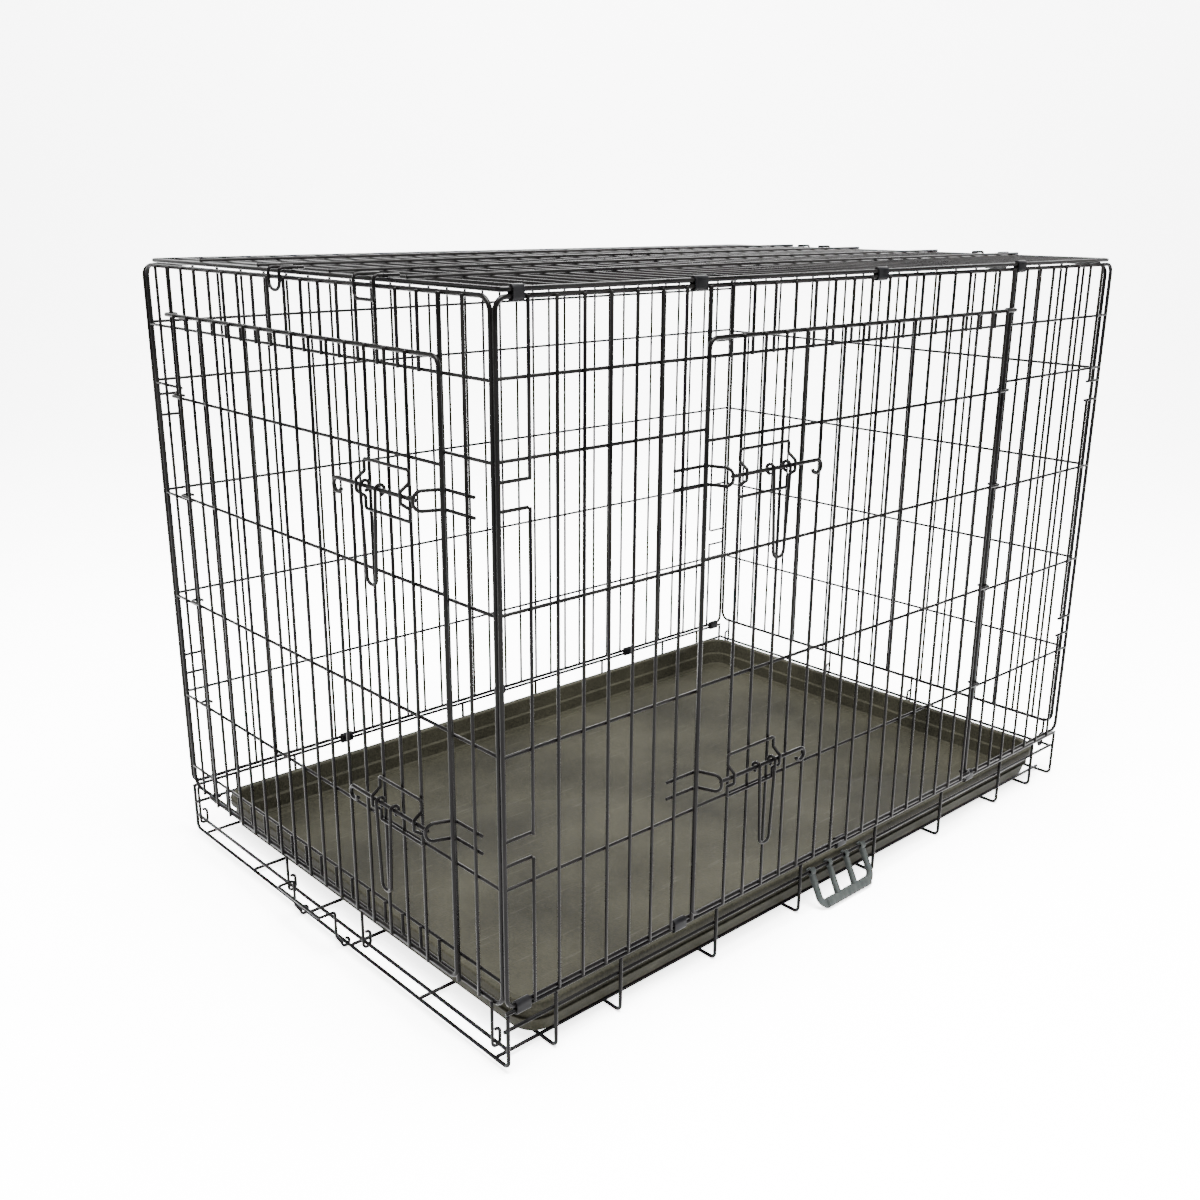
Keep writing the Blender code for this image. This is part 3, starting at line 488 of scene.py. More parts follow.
def capped(rings: Array, poles: Array) -> Surface:
    """Rings joined in their order, with a fan of faces from a pole at each end.

    Args:
        rings: points, as rings by points by three.
        poles: the pole before the first ring and the one after the last.
    Returns:
        The surface.
    """
    rows, count = rings.shape[:2]
    low, pole = np.arange(count), np.full(count, rows * count)
    high = low + (rows - 1) * count
    tris = np.concatenate([np.stack([pole, np.roll(low, -1), low], -1),
                           np.stack([pole + 1, high, np.roll(high, -1)], -1)])
    return outward(np.concatenate([rings.reshape(-1, 3), poles]),
                   grid_faces(rows, count, False), tris)


def moulded_bar(path: Array, side: Point, across: Array | float, thick: Array | float,
                power: float) -> Surface:
    """A bar whose section is a rounded oblong, with softened ends.

    The section is across times the cosine and thick times the sine, each raised to the
    power with its sign kept, along the side way and the way square to it and the path.

    Args:
        path: the bar's middle line.
        side: the way that the section's width lies.
        across, thick: half the width and half the thickness, at each point or for all.
        power: 1 is an ellipse and smaller is squarer.
    Returns:
        The surface.
    """
    sides, count = 20, len(path)
    side = np.asarray(side, float)
    across, thick = (np.broadcast_to(v, count).astype(float) for v in (across, thick))
    tangent = unit(np.gradient(path, axis=0))
    way = unit(side - tangent * (tangent @ side)[:, None])
    rise = np.cross(tangent, way)
    soft = 0.35 * min(across.min(), thick.min())
    inset = soft * np.array([0.0, 0.12, 0.5, 1.0])
    less = soft * np.array([1.0, 0.6, 0.15, 0.0])
    path = np.concatenate([path[:1] + tangent[:1] * inset[:, None], path[1:-1],
                           path[-1:] - tangent[-1:] * inset[::-1, None]])
    across, thick, way, rise = (
        np.concatenate([rows[:1].repeat(4, 0), rows[1:-1], rows[-1:].repeat(4, 0)])
        for rows in (across, thick, way, rise))
    shrink = np.concatenate([less, np.zeros(count - 2), less[::-1]])
    angle = (np.arange(sides) + 0.5) * 2 * np.pi / sides
    wide = np.sign(np.cos(angle)) * np.abs(np.cos(angle)) ** power
    tall = np.sign(np.sin(angle)) * np.abs(np.sin(angle)) ** power
    rings = (path[:, None] + way[:, None] * ((across - shrink)[:, None] * wide)[..., None]
             + rise[:, None] * ((thick - shrink)[:, None] * tall)[..., None])
    return capped(rings, path[[0, -1]])


def place_of(origin: Point, right: Point = (1, 0, 0), up: Point = (0, 1, 0),
             out: Point = (0, 0, 1)) -> Array:
    """The matrix that takes a panel's own directions to the crate's.

    Args:
        origin: where the panel's origin goes.
        right, up, out: where its three directions point.
    Returns:
        The four by four matrix.
    """
    place = np.eye(4)
    place[:3, 0], place[:3, 1], place[:3, 2], place[:3, 3] = right, up, out, origin
    return place


NEAR: Array = place_of((0.348, 0, 0), (0, 1, 0), (0, 0, 1), (1, 0, 0))
FAR: Array = place_of((-0.348, 0, 0), (0, -1, 0), (0, 0, 1), (-1, 0, 0))
FRONT: Array = place_of((0, -END_PLANE, 0), (1, 0, 0), (0, 0, 1), (0, -1, 0))
REAR: Array = place_of((0, END_PLANE, 0), (-1, 0, 0), (0, 0, 1), (0, 1, 0))
LID: Array = place_of((0, 0, LID_Z + HEAVY), (0, 1, 0), (-1, 0, 0), (0, 0, 1))


def new_object(name: str, data: bpy.types.ID) -> bpy.types.Object:
    """Put the data into the scene as an object.

    Args:
        name: the object's name.
        data: its mesh, lamp or camera.
    Returns:
        The object.
    """
    thing = bpy.data.objects.new(name, data)
    bpy.context.scene.collection.objects.link(thing)
    return thing


class Bundle:
    """Collects the surfaces of one piece and makes them one mesh object."""

    def __init__(self, place: Array | None = None) -> None:
        """Start empty; place is the four by four matrix that the surfaces go through."""
        self.place = np.eye(4) if place is None else place
        self.parts: list[Surface] = []

    def wire(self, path: Array, radius: float, closed: bool = False) -> None:
        """Add one wire along the path."""
        self.parts.append(tube(path, radius, closed))

    def rods(self, starts: Sequence[Point], ends: Sequence[Point], radius: float) -> None:
        """Add straight wires from each start to its end."""
        self.parts.append(tube(np.stack([starts, ends], 1), radius))

    def piece(self, name: str, body: str, nodes: Iterable[str],
              finish: Finish = Finish.WIRE) -> None:
        """Join what was added into one object that stands for CAD nodes.

        Args:
            name: the piece's name.
            body: the body that it rides on.
            nodes: the nodes that it replaces.
            finish: its finish.
        """
        offset = np.cumsum([0] + [len(part[0]) for part in self.parts[:-1]])
        verts = np.concatenate([part[0] for part in self.parts])
        quads, tris = (np.concatenate([part[k] + shift for part, shift in
                                       zip(self.parts, offset)]) for k in (1, 2))
        verts = verts @ self.place[:3, :3].T + self.place[:3, 3]
        corners = np.concatenate([quads.ravel(), tris.ravel()]).astype(np.int32)
        counts = np.repeat([4, 3], [len(quads), len(tris)])
        starts = np.concatenate([[0], np.cumsum(counts)[:-1]]).astype(np.int32)
        mesh = bpy.data.meshes.new(name)
        mesh.vertices.add(len(verts))
        mesh.vertices.foreach_set("co", verts.astype(np.float32).ravel())
        mesh.loops.add(len(corners))
        mesh.loops.foreach_set("vertex_index", corners)
        mesh.polygons.add(len(counts))
        mesh.polygons.foreach_set("loop_start", starts)
        mesh.update(calc_edges=True)
        mesh.validate()
        mesh.shade_smooth()
        mesh.materials.append(finish.material())
        thing = new_object(name, mesh)
        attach(thing, body)
        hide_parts(*nodes)
        log.info("%s: %d faces on %s", name, len(counts), body)


def wire_piece(name: str, body: str, node: str, place: Array | None, path: Array,
               radius: float = THIN) -> None:
    """Make a piece of one open wire.

    Args:
        name: the piece's name.
        body: the body that it rides on.
        node: the node that it replaces.
        place: the matrix that the path goes through.
        path: the wire's points.
        radius: of the wire.
    """
    bundle = Bundle(place)
    bundle.wire(path, radius)
    bundle.piece(name, body, [node])


@dataclass
class WirePanel:
    """A flat welded panel: a frame, wires along it inside and uprights outside."""

    node: str
    body: str
    place: Array
    half: float
    bottom: float
    top: float
    corner: float = FRAME_BEND

    def frame(self, bundle: Bundle) -> None:
        """Add the heavy frame wire, bent round the panel's edge."""
        level = ((-self.half, -HEAVY), (self.half, -HEAVY))
        corners = hairpin(level, 1, self.bottom, self.top)
        bundle.wire(bent(corners, self.corner, 6, True), HEAVY, True)

    def along(self, bundle: Bundle, rows: Sequence[Point], depth: float = -WELD) -> None:
        """Add thin wires along the panel, from (left, right, height) rows."""
        bundle.rods([(one, z, depth) for one, _, z in rows],
                    [(two, z, depth) for _, two, z in rows], THIN)

    def across(self, bundle: Bundle, rows: Sequence[Point], radius: float = THIN) -> None:
        """Add uprights in front of the frame, from (place, bottom, top) rows."""
        bundle.rods([(p, low, radius - SINK / 2) for p, low, _ in rows],
                    [(p, high, radius - SINK / 2) for p, _, high in rows], radius)

    def done(self, bundle: Bundle) -> None:
        """Make the panel's piece."""
        bundle.piece(f"{self.body}_wires", self.body, [self.node])


@dataclass
class UprightPanel(WirePanel):
    """A panel with evenly spaced uprights and perhaps a doorway in them."""

    levels: tuple[float, ...] = ()
    doorway: tuple[int, int] | None = None
    count: int = 0
    sill: int = 0

    def uprights(self) -> Array:
        """The uprights' places along the panel."""
        return -self.half + 2 * self.half / (self.count + 1) * np.arange(1, self.count + 1)

    def lattice(self, bundle: Bundle, skip: int) -> None:
        """Add the frame, the uprights and the level wires, cut away in the doorway.

        Args:
            bundle: where they go.
            skip: how many uprights are left out at either end.
        """
        self.frame(bundle)
        place, index = self.uprights(), np.arange(1, self.count + 1)
        low, high = self.bottom - THIN, self.top + PAST
        one, two = self.doorway or (0, 0)
        inside, heavy = (index > one) & (index < two), np.isin(index, (one, two))
        whole = ~inside & ~heavy & (index > skip) & (index <= self.count - skip)
        self.across(bundle, [(p, low, high) for p in place[whole]])
        cut = self.levels[self.sill:-1] if self.doorway else ()
        rows = [(-self.half, self.half, z) for z in self.levels if z not in cut]
        rows += [(-self.half, place[one - 1] + THIN, z) for z in cut]
        rows += [(place[two - 1] - THIN, self.half, z) for z in cut]
        self.along(bundle, rows)
        if self.doorway:
            self.across(bundle, [(p, low, high) for p in place[heavy]], HEAVY)
            self.across(bundle, [(p, self.levels[-1] - THIN, high) for p in place[inside]])
        if self.sill and self.doorway:
            self.across(bundle, [(p, low, self.levels[0] + THIN) for p in place[inside]])


@dataclass
class SidePanel(UprightPanel):
    """A long side, whose first and last uprights have slots for the end panels."""

    levels: tuple[float, ...] = (0.208, 0.346, 0.484, 0.623, 0.694)
    count: int = SIDE_COUNT
    corner: float = 0.0115
    slots: tuple[float, float] = (0.246, 0.592)
    slot_half: float = 0.013

    def build(self) -> None:
        """Draw the side's wires."""
        bundle = Bundle(self.place)
        self.lattice(bundle, 1)
        stubs = [s + d for s in self.slots for d in (-self.slot_half, self.slot_half)]
        cuts = np.reshape([self.bottom - THIN, *stubs, self.top + PAST], (-1, 2))
        self.across(bundle, [(p, low - PAST, high + PAST) for p in self.uprights()[[0, -1]]
                             for low, high in cuts])
        step = self.half - SIDE_PITCH - PAST
        self.along(bundle, [row for z in stubs
                            for row in ((-self.half, -step, z), (step, self.half, z))])
        self.done(bundle)


@dataclass
class EndPanel(UprightPanel):
    """A short end that folds on hooks."""

    count: int = END_COUNT
    sill: int = 1
    corner: float = 0.0140
    pivot: float = FRONT_PIVOT_Z
    hooks: tuple[float, ...] = (-0.325, -0.085, 0.085, 0.325)
    eye: float = 0.010

    def build(self) -> None:
        """Draw the end's wires and hooks.

        A hook is a shank, a half turn under the pivot wire, and an eye that closes.
        """
        bundle = Bundle(self.place)
        self.lattice(bundle, 0)
        middle = WELD - HOOK
        for at in self.hooks:
            under = curl((at, self.pivot, middle), (0, 0, HOOK), (1, 0, 0), 180, 12)
            back = curl((at, self.pivot + self.eye, middle), (0, 0, -HOOK), (1, 0, 0), 110, 8)
            bundle.wire(np.concatenate([[(at, self.bottom + THIN, WELD)], under, back]), THIN)
        self.done(bundle)


@dataclass
class Lid(WirePanel):
    """The top panel, hinged on the near side, with loops over both ends."""

    levels: tuple[float, ...] = (0.207, 0.0725, -0.0725, -0.207)
    loops: tuple[tuple[str, float, float, float, float], ...] = (
        ("front_loop_1", -1, -0.011, 0.022, 0.0095), ("front_loop_2", -1, 0.158, 0.034, 0.006),
        ("rear_loop_1", 1, -0.163, 0.042, 0.008), ("rear_loop_2", 1, 0.163, 0.042, 0.008))
    drop: float = 0.022
    tail: float = 0.0135
    bend: float = 0.004

    def loop(self, name: str, toward: float, station: float, width: float, foot: float) -> None:
        """One loop: a bent wire from the lid's end wire down over the end panel.

        Args:
            name: the loop's name.
            toward: -1 at the front and 1 at the rear.
            station: its middle across the crate.
            width: between its two legs.
            foot: its two lower bends' radius.
        """
        reach = toward * (END_PLANE + 2 * THIN + GAP + THIN)
        end = toward * (self.half - self.tail)
        leg = ((end, THIN, self.bend), (reach, THIN, self.bend), (reach, THIN - self.drop, foot))
        rows = hairpin(leg, 1, -station - width / 2, -station + width / 2)
        wire_piece(f"lid_{name}_wire", self.body, f"lid_{name}", self.place,
                   bent(rows[:, :3], rows[:, 3], 8))

    def build(self) -> None:
        """Draw the lid's cross wires, its long wires on top of them, and its loops."""
        bundle = Bundle(self.place)
        self.frame(bundle)
        place = -SIDE_HALF + SIDE_PITCH * np.arange(1, SIDE_COUNT + 1) + LID_SHIFT
        bundle.rods([(p, self.bottom, -WELD) for p in place],
                    [(p, self.top, -WELD) for p in place], THIN)
        self.along(bundle, [(-self.half - PAST, self.half + PAST, z) for z in self.levels], WELD)
        self.done(bundle)
        for loop in self.loops:
            self.loop(*loop)


@dataclass
class Latch:
    """A slide bolt on a door: guide, bolt, pull, and the keeper on the panel."""

    level: float
    hand: float
    door: float
    near: float = 0.0416
    width: float = 0.0754
    half: float = 0.0245
    rise: float = 0.0055
    guide_bend: float = 0.0024
    guide_sink: float = 0.0002
    tip: float = 0.0235
    length: float = 0.135
    bolt_curl: float = 0.007
    bolt_turn: float = 250.0
    pull_middle: float = 0.0957
    pull_half: float = 0.013
    pull_foot: float = 0.008
    pull_bend: float = 0.0075
    pull_drop: float = 0.095
    keeper_half: float = 0.0095
    keeper_reach: float = 0.0150
    keeper_tail: float = 0.0410
    keeper_bend: float = 0.004
    keeper_room: float = 0.0007

    def guide(self) -> Array:
        """The guide's closed path: a rectangle whose two sides stand out over the bolt.

        Returns:
            The path's points.
        """
        low, high = DOOR_PLANE + 3 * THIN - self.guide_sink, OVER_BOLT
        one, two = (self.hand * (self.door - self.near - far) for far in (0, self.width))
        slope = self.rise + (high - low) * 0.7
        rows = ((-self.half, low), (-slope, low), (-self.rise, high), (self.rise, high),
                (slope, low), (self.half, low))
        corners = hairpin(np.add(rows, (self.level, 0)), 0, one, two)
        return bent(corners, self.guide_bend, 5, True)

    def bolt(self) -> Array:
        """The bolt's path: straight, then a curl at the end away from its tip.

        Returns:
            The path's points.
        """
        start = self.hand * (self.door - self.tip)
        middle = (start - self.hand * self.length, self.level - self.bolt_curl, BOLT_OUT)
        loop = curl(middle, (0, self.bolt_curl, 0), (0, 0, 1), self.hand * self.bolt_turn,
                    20)
        return np.concatenate([[(start, self.level, BOLT_OUT)], loop])

    def pull(self) -> Array:
        """The pull's path: a curl round the bolt, down, across, up and a curl again.

        Returns:
            The path's points.
        """
        at = self.hand * (self.door - self.pull_middle)
        one, two = (curl((at + side * self.pull_half, self.level, BOLT_OUT),
                         (0, 0, LATCH_CURL), (1, 0, 0), -270, 22) for side in (-1, 1))
        foot = [(at + side * self.pull_foot, self.level - self.pull_drop, one[0, 2])
                for side in (-1, 1)]
        bends = bent([one[0], *foot, two[0]], self.pull_bend, 8)
        return np.concatenate([one[::-1], bends[1:-1], two])

    def keeper(self, upright: float) -> Array:
        """The keeper's path: two arms behind the uprights and an end that stands out.

        Args:
            upright: the place of the doorway's upright.
        Returns:
            The path's points.
        """
        arm = ((self.keeper_tail, -THIN, self.keeper_bend),
               (-self.keeper_reach / 3, -THIN, self.keeper_bend),
               (-self.keeper_reach, HEAVY + OVER_BOLT + self.keeper_room, self.keeper_half * 0.9))
        rows = hairpin([(upright + self.hand * x, w, r) for x, w, r in arm], 1,
                       self.level - self.keeper_half, self.level + self.keeper_half)
        return bent(rows[:, :3], rows[:, 3], 8)


@dataclass
class WireDoor:
    """A door whose wires curl round an upright of the panel, with two slide bolts."""

    name: str
    panel: Array
    panel_body: str
    hinge: float
    hand: float
    span: float
    bottom: float
    top: float
    levels: tuple[float, ...]
    pitch: float
    overlap: float = 0.0055
    corner: float = 0.010
    turn: float = 200.0
    first: float = 0.046
    last: float = 0.020

    def curls(self, depth: float) -> Array:
        """The turn that a wire at the depth takes round the hinge line."""
        return curl((0, 0, 0), (0, 0, depth), (0, 1, 0), -self.hand * self.turn, 20)

    def build(self) -> None:
        """Draw the door, then its bolts, pulls and keepers."""
        place = self.panel @ place_of((self.hinge, 0, HEAVY))
        width = self.span + self.overlap
        bundle = Bundle(place)
        self.frame(bundle, self.hand * width)
        at, depth = np.arange(width - self.first, self.last, -self.pitch), DOOR_PLANE + WELD
        bundle.rods([(self.hand * x, self.bottom - THIN, depth) for x in at],
                    [(self.hand * x, self.top + THIN, depth) for x in at], THIN)
        latches = [Latch(level, self.hand, width) for level in BOLT_LEVELS]
        for latch in latches:
            bundle.wire(latch.guide(), THIN, True)
        door = f"{self.name}_door"
        bundle.piece(f"{door}_wires", door, [door])
        for word, latch in zip(("lower", "upper"), latches):
            bolt = f"{self.name}_{word}_bolt"
            wire_piece(f"{bolt}_rod", bolt, bolt, place, latch.bolt(), BOLT_RADIUS)
            wire_piece(f"{bolt}_pull", f"{bolt}_handle", f"{bolt}_handle", place, latch.pull())
            keeper = f"{self.name}_{word}_keeper"
            wire_piece(f"{keeper}_wire", self.panel_body, keeper, self.panel,
                       latch.keeper(self.hinge + self.hand * self.span))

    def frame(self, bundle: Bundle, edge: float) -> None:
        """Add the frame wire and the cross wires, each with its curls at the hinge.

        Args:
            bundle: where they go.
            edge: the door's free edge, from the hinge line.
        """
        depth, thin = DOOR_PLANE - HEAVY, DOOR_PLANE - WELD
        heavy, light = self.curls(depth), self.curls(thin)
        bends = bent(hairpin(((0, depth), (edge, depth)), 1, self.bottom, self.top),
                     self.corner, 8)
        bundle.wire(np.concatenate([(heavy + (0, self.bottom, 0))[::-1], bends[1:-1],
                                    heavy + (0, self.top, 0)]), HEAVY)
        for level in self.levels:
            bundle.wire(np.concatenate([(light + (0, level, 0))[::-1], [(edge, level, thin)]]),
                        THIN)


@dataclass
class BaseFrame:
    """The bows under the tray, the rails, the runners and the pivot wires."""

    stations: tuple[float, ...] = (0.0757, 0.227, 0.377, 0.468, END_Y)
    runners: tuple[float, ...] = (0.048, 0.188, 0.323)
    bend: float = 0.007
    front_floor: float = 0.0068

    def build(self) -> None:
        """Draw every base wire as one piece."""
        bundle = Bundle()
        top = RAIL_Z - BASE
        for at in (*(-s for s in self.stations), *self.stations):
            floor = self.front_floor if at == -END_Y else BASE
            bow = hairpin(((at, top), (at, floor)), 0, -RAIL_X, RAIL_X)
            bundle.wire(bent(bow, self.bend, 8), BASE)
        end, front = END_Y + BASE, -END_Y + 2 * BASE / math.sqrt(3) + GAP
        lines = [(RAIL_X, -end, RAIL_Z), (MID_X, -end, MID_Z)]
        lines += [(r, front, 3 * BASE) for r in self.runners]
        starts = [(s * x, y, z) for x, y, z in lines for s in (-1, 1)]
        ends = [(x, end, z) for x, _, z in starts]
        inner, rear = RAIL_X - BASE, MID_X - BASE
        starts += [(-inner, -PIVOT_Y, FRONT_PIVOT_Z), (-rear, PIVOT_Y, MID_Z)]
        ends += [(inner, -PIVOT_Y, FRONT_PIVOT_Z), (rear, PIVOT_Y, MID_Z)]
        bundle.rods(starts, ends, BASE)
        nodes = [f"base_bow_{k}" for k in range(1, 2 * len(self.stations) + 1)]
        nodes += [f"base_{s}_{w}" for s in ("near", "far")
                  for w in ("rail", "mid_wire", "runner_1", "runner_2", "runner_3")]
        nodes += ["base_front_pivot_wire", "base_rear_pivot_wire"]
        bundle.piece("base_wires", "base", nodes)


@dataclass
class Tray:
    """The slide-in tray: a stepped pan with a rolled rim and a bead round its floor."""

    front: float = -END_Y + 0.0330
    rear: float = END_Y - 0.0185
    half: float = MID_X - 0.0059
    bottom: float = 4 * BASE + GAP
    corner: float = 0.035
    corner_steps: int = 14
    edge: float = 0.0007
    profile: tuple[tuple[float, float], ...] = (
        (0.0125, 0.0), (0.0110, 0.0015), (0.0070, 0.0165), (0.0045, 0.0180),
        (0.0045, 0.0195), (0.0070, 0.0205), (0.0070, 0.0330), (0.0, 0.0345),
        (0.0, 0.0425), (0.0015, 0.0440), (0.0085, 0.0440), (0.0100, 0.0425),
        (0.0125, 0.0220), (0.0165, 0.0205), (0.0180, 0.0040), (0.0205, 0.0025),
        (0.0260, 0.0025), (0.0300, 0.0040), (0.0320, 0.0040), (0.0360, 0.0025))

    def build(self) -> None:
        """Draw rounded oblongs, one for each point of the rounded profile.

        Each oblong's corner has the tray's corner radius less two thirds of the inset, and
        its points are the corner's centre plus the radius times the cosine and sine.
        """
        rows = bent([(inset, 0, rise) for inset, rise in self.profile], self.edge, 4)
        inset, rise = rows[:, 0, None, None], rows[:, 2, None, None]
        radius = self.corner - inset * 2 / 3
        quarter = np.linspace(0, np.pi / 2, self.corner_steps + 1)
        angle = quarter[None] + np.arange(4)[:, None] * np.pi / 2
        wide = self.half - inset - radius
        long_ = (self.rear - self.front) / 2 - inset - radius
        x = np.array([1, -1, -1, 1])[:, None] * wide + radius * np.cos(angle)
        y = np.array([1, 1, -1, -1])[:, None] * long_ + radius * np.sin(angle)
        y = y + (self.rear + self.front) / 2
        z = np.broadcast_to(self.bottom + rise, x.shape)
        rings = np.stack([x, y, z], -1).reshape(len(rows), angle.size, 3)
        bundle = Bundle()
        bundle.parts.append(capped(rings, rings[[0, -1]].mean(1)))
        bundle.piece("tray_pan", "tray", ["slide_in_tray"], Finish.TRAY)


@dataclass
class HingeSleeves:
    """The short sleeves that hold two wires side by side as hinges."""

    length: float = 0.018
    inner: float = 0.0030
    outer: float = 0.0045
    edge: float = 0.0004
    waist: float = 0.16
    waist_height: float = 0.0022
    half_steps: int = 13
    gaps: tuple[float, ...] = (0.58, 7.5, 16.5, 25.5)
    corner_room: float = 0.0012

    def sleeve(self, node: str, body: str, x: float, y: float, wires: tuple[float, float],
               length: float) -> None:
        """A rounded oblong ring round the two wires, drawn in between them.

        A point of it is its wire's centre plus the profile's radius times the cosine and
        sine; its width is then less by a bell-shaped share about the middle height.

        Args:
            node: the CAD node that it stands for.
            body: the body that it rides on.
            x, y: its middle.
            wires: the two wires' heights.
            length: along the wires.
        """
        low, high = wires
        half = length / 2
        profile = bent(hairpin(((self.inner, 0), (self.outer, 0)), 1, -half, half), self.edge,
                       4, True)
        angle = np.linspace(0, np.pi, self.half_steps)
        turn = np.concatenate([angle, angle + np.pi])
        radius = profile[:, 0, None]
        z = np.repeat([high, low], len(angle)) + radius * np.sin(turn)
        across = 1 - self.waist * np.exp(-((z - (low + high) / 2) / self.waist_height) ** 2)
        along = np.broadcast_to(y + profile[:, 1, None], z.shape)
        verts = np.stack([x + radius * np.cos(turn) * across, along, z], -1).reshape(-1, 3)
        bundle = Bundle()
        bundle.parts.append(outward(verts, grid_faces(len(profile), len(turn), True),
                                    np.zeros((0, 3), int)))
        bundle.piece(f"{node}_sleeve", body, [node], Finish.SLEEVE)

    def build(self) -> None:
        """Draw every sleeve on its own body."""
        low, lid = (RAIL_Z, SIDE_BOTTOM), (SIDE_TOP, LID_Z)
        for number, gap in enumerate(self.gaps, 1):
            y = -SIDE_HALF + SIDE_PITCH * gap
            self.sleeve(f"near_base_clip_{number}", "near_side", RAIL_X, y, low, self.length)
            self.sleeve(f"far_base_clip_{number}", "far_side", -RAIL_X, -y, low, self.length)
            if number > 1:
                self.sleeve(f"lid_clip_{number}", "near_side", RAIL_X, y + LID_SHIFT / 2, lid,
                            self.length)
        bend = -(SIDE_HALF - LID_INSET) + FRAME_BEND
        upright = -SIDE_HALF + SIDE_PITCH - THIN
        self.sleeve("lid_clip_1", "near_side", RAIL_X, (bend + upright) / 2, lid,
                    upright - bend - 2 * self.corner_room)


@dataclass
class TrayStop:
    """The bent wire flap in front of the tray."""

    stations: tuple[float, float] = (-0.057, 0.038)
    level: float = HOOK + THIN + GAP
    height: float = 0.044
    reach: float = 0.028
    lean: float = 0.0070
    foot: float = 0.0115
    turn: float = 270.0
    bend: float = 0.004

    def build(self) -> None:
        """Draw curls round the front bow, two leaning legs, and the flap between them."""
        first, last = (curl((at, 0, 0), (0, -HOOK, 0), (1, 0, 0), self.turn, 24)
                       for at in self.stations)
        leg = ((-HOOK, 0), (-HOOK - self.lean, self.foot), (-HOOK - self.lean, self.height),
               (-HOOK - self.reach, self.height))
        flap = bent(hairpin(leg, 0, *self.stations), self.bend, 6)
        path = np.concatenate([first[:0:-1], flap, last[1:]]) + (0, -END_Y, self.level)
        wire_piece("tray_stop_wire", "tray_stop", "tray_stop", None, path)


@dataclass
class CarryHandle:
    """The moulded grip that hangs from the side's lower wire by four open hooks."""

    centre: float = 0.002
    reach: float = 0.0440
    drop: float = 0.0448
    swing: float = math.radians(27)
    bar: float = 0.0062
    arm: float = 0.0036
    arm_top: float = 0.0010
    taper: tuple[float, float] = (0.0005, 0.0012)
    fillet: float = 0.0120
    run_in: float = 0.009
    eye: float = 0.0028
    wall: float = 0.0026
    opening: float = 35.0
    hooks: tuple[tuple[float, float], ...] = (
        (-0.051, 0.008), (-0.017, 0.006), (0.017, 0.006), (0.051, 0.008))

    def build(self) -> None:
        """Draw the bar, with five finger swells, then an arm and a ring at each hook."""
        place = (Matrix.Translation((MID_X, self.centre, MID_Z))
                 @ Matrix.Rotation(-self.swing, 4, "Y"))
        bundle = Bundle(np.array(place))
        y = np.linspace(-self.reach, self.reach, 61)
        swell = self.bar * (0.93 + 0.07 * np.cos(y / self.reach * np.pi * 5) ** 2)
        line = np.stack([np.zeros(61), y, np.full(61, -self.drop)], 1)
        bundle.parts.append(moulded_bar(line, (1, 0, 0), swell, swell, 0.7))
        for at, width in self.hooks:
            self.hook(bundle, at, width / 2)
        bundle.piece("carry_grip", "carry_handle", ["carry_handle"], Finish.HANDLE)

    def hook(self, bundle: Bundle, at: float, half: float) -> None:
        """Add one arm and its ring, open on the side away from the bar.

        Args:
            bundle: where they go.
            at: their place along the bar.
            half: half the ring's width.
        """
        top, foot = (0, at, -self.eye - self.arm_top), (0, at, -self.drop)
        if abs(at) > self.reach:
            line = bent((top, foot, (0, math.copysign(self.reach - self.run_in, at), -self.drop)),
                        self.fillet, 12)
        else:
            line = np.linspace(top, foot, 14)
        width = np.linspace(half - self.taper[0], half + self.taper[1], len(line))
        bundle.parts.append(moulded_bar(line, (1, 0, 0), self.arm, width, 0.5))
        angle = np.radians(-90 + np.linspace(-180 + self.opening, 180 - self.opening, 33))
        middle = self.eye + self.wall / 2
        ring = np.stack([middle * np.cos(angle), np.full(33, at), middle * np.sin(angle)], 1)
        bundle.parts.append(moulded_bar(ring, (0, 1, 0), half, self.wall / 2, 0.5))


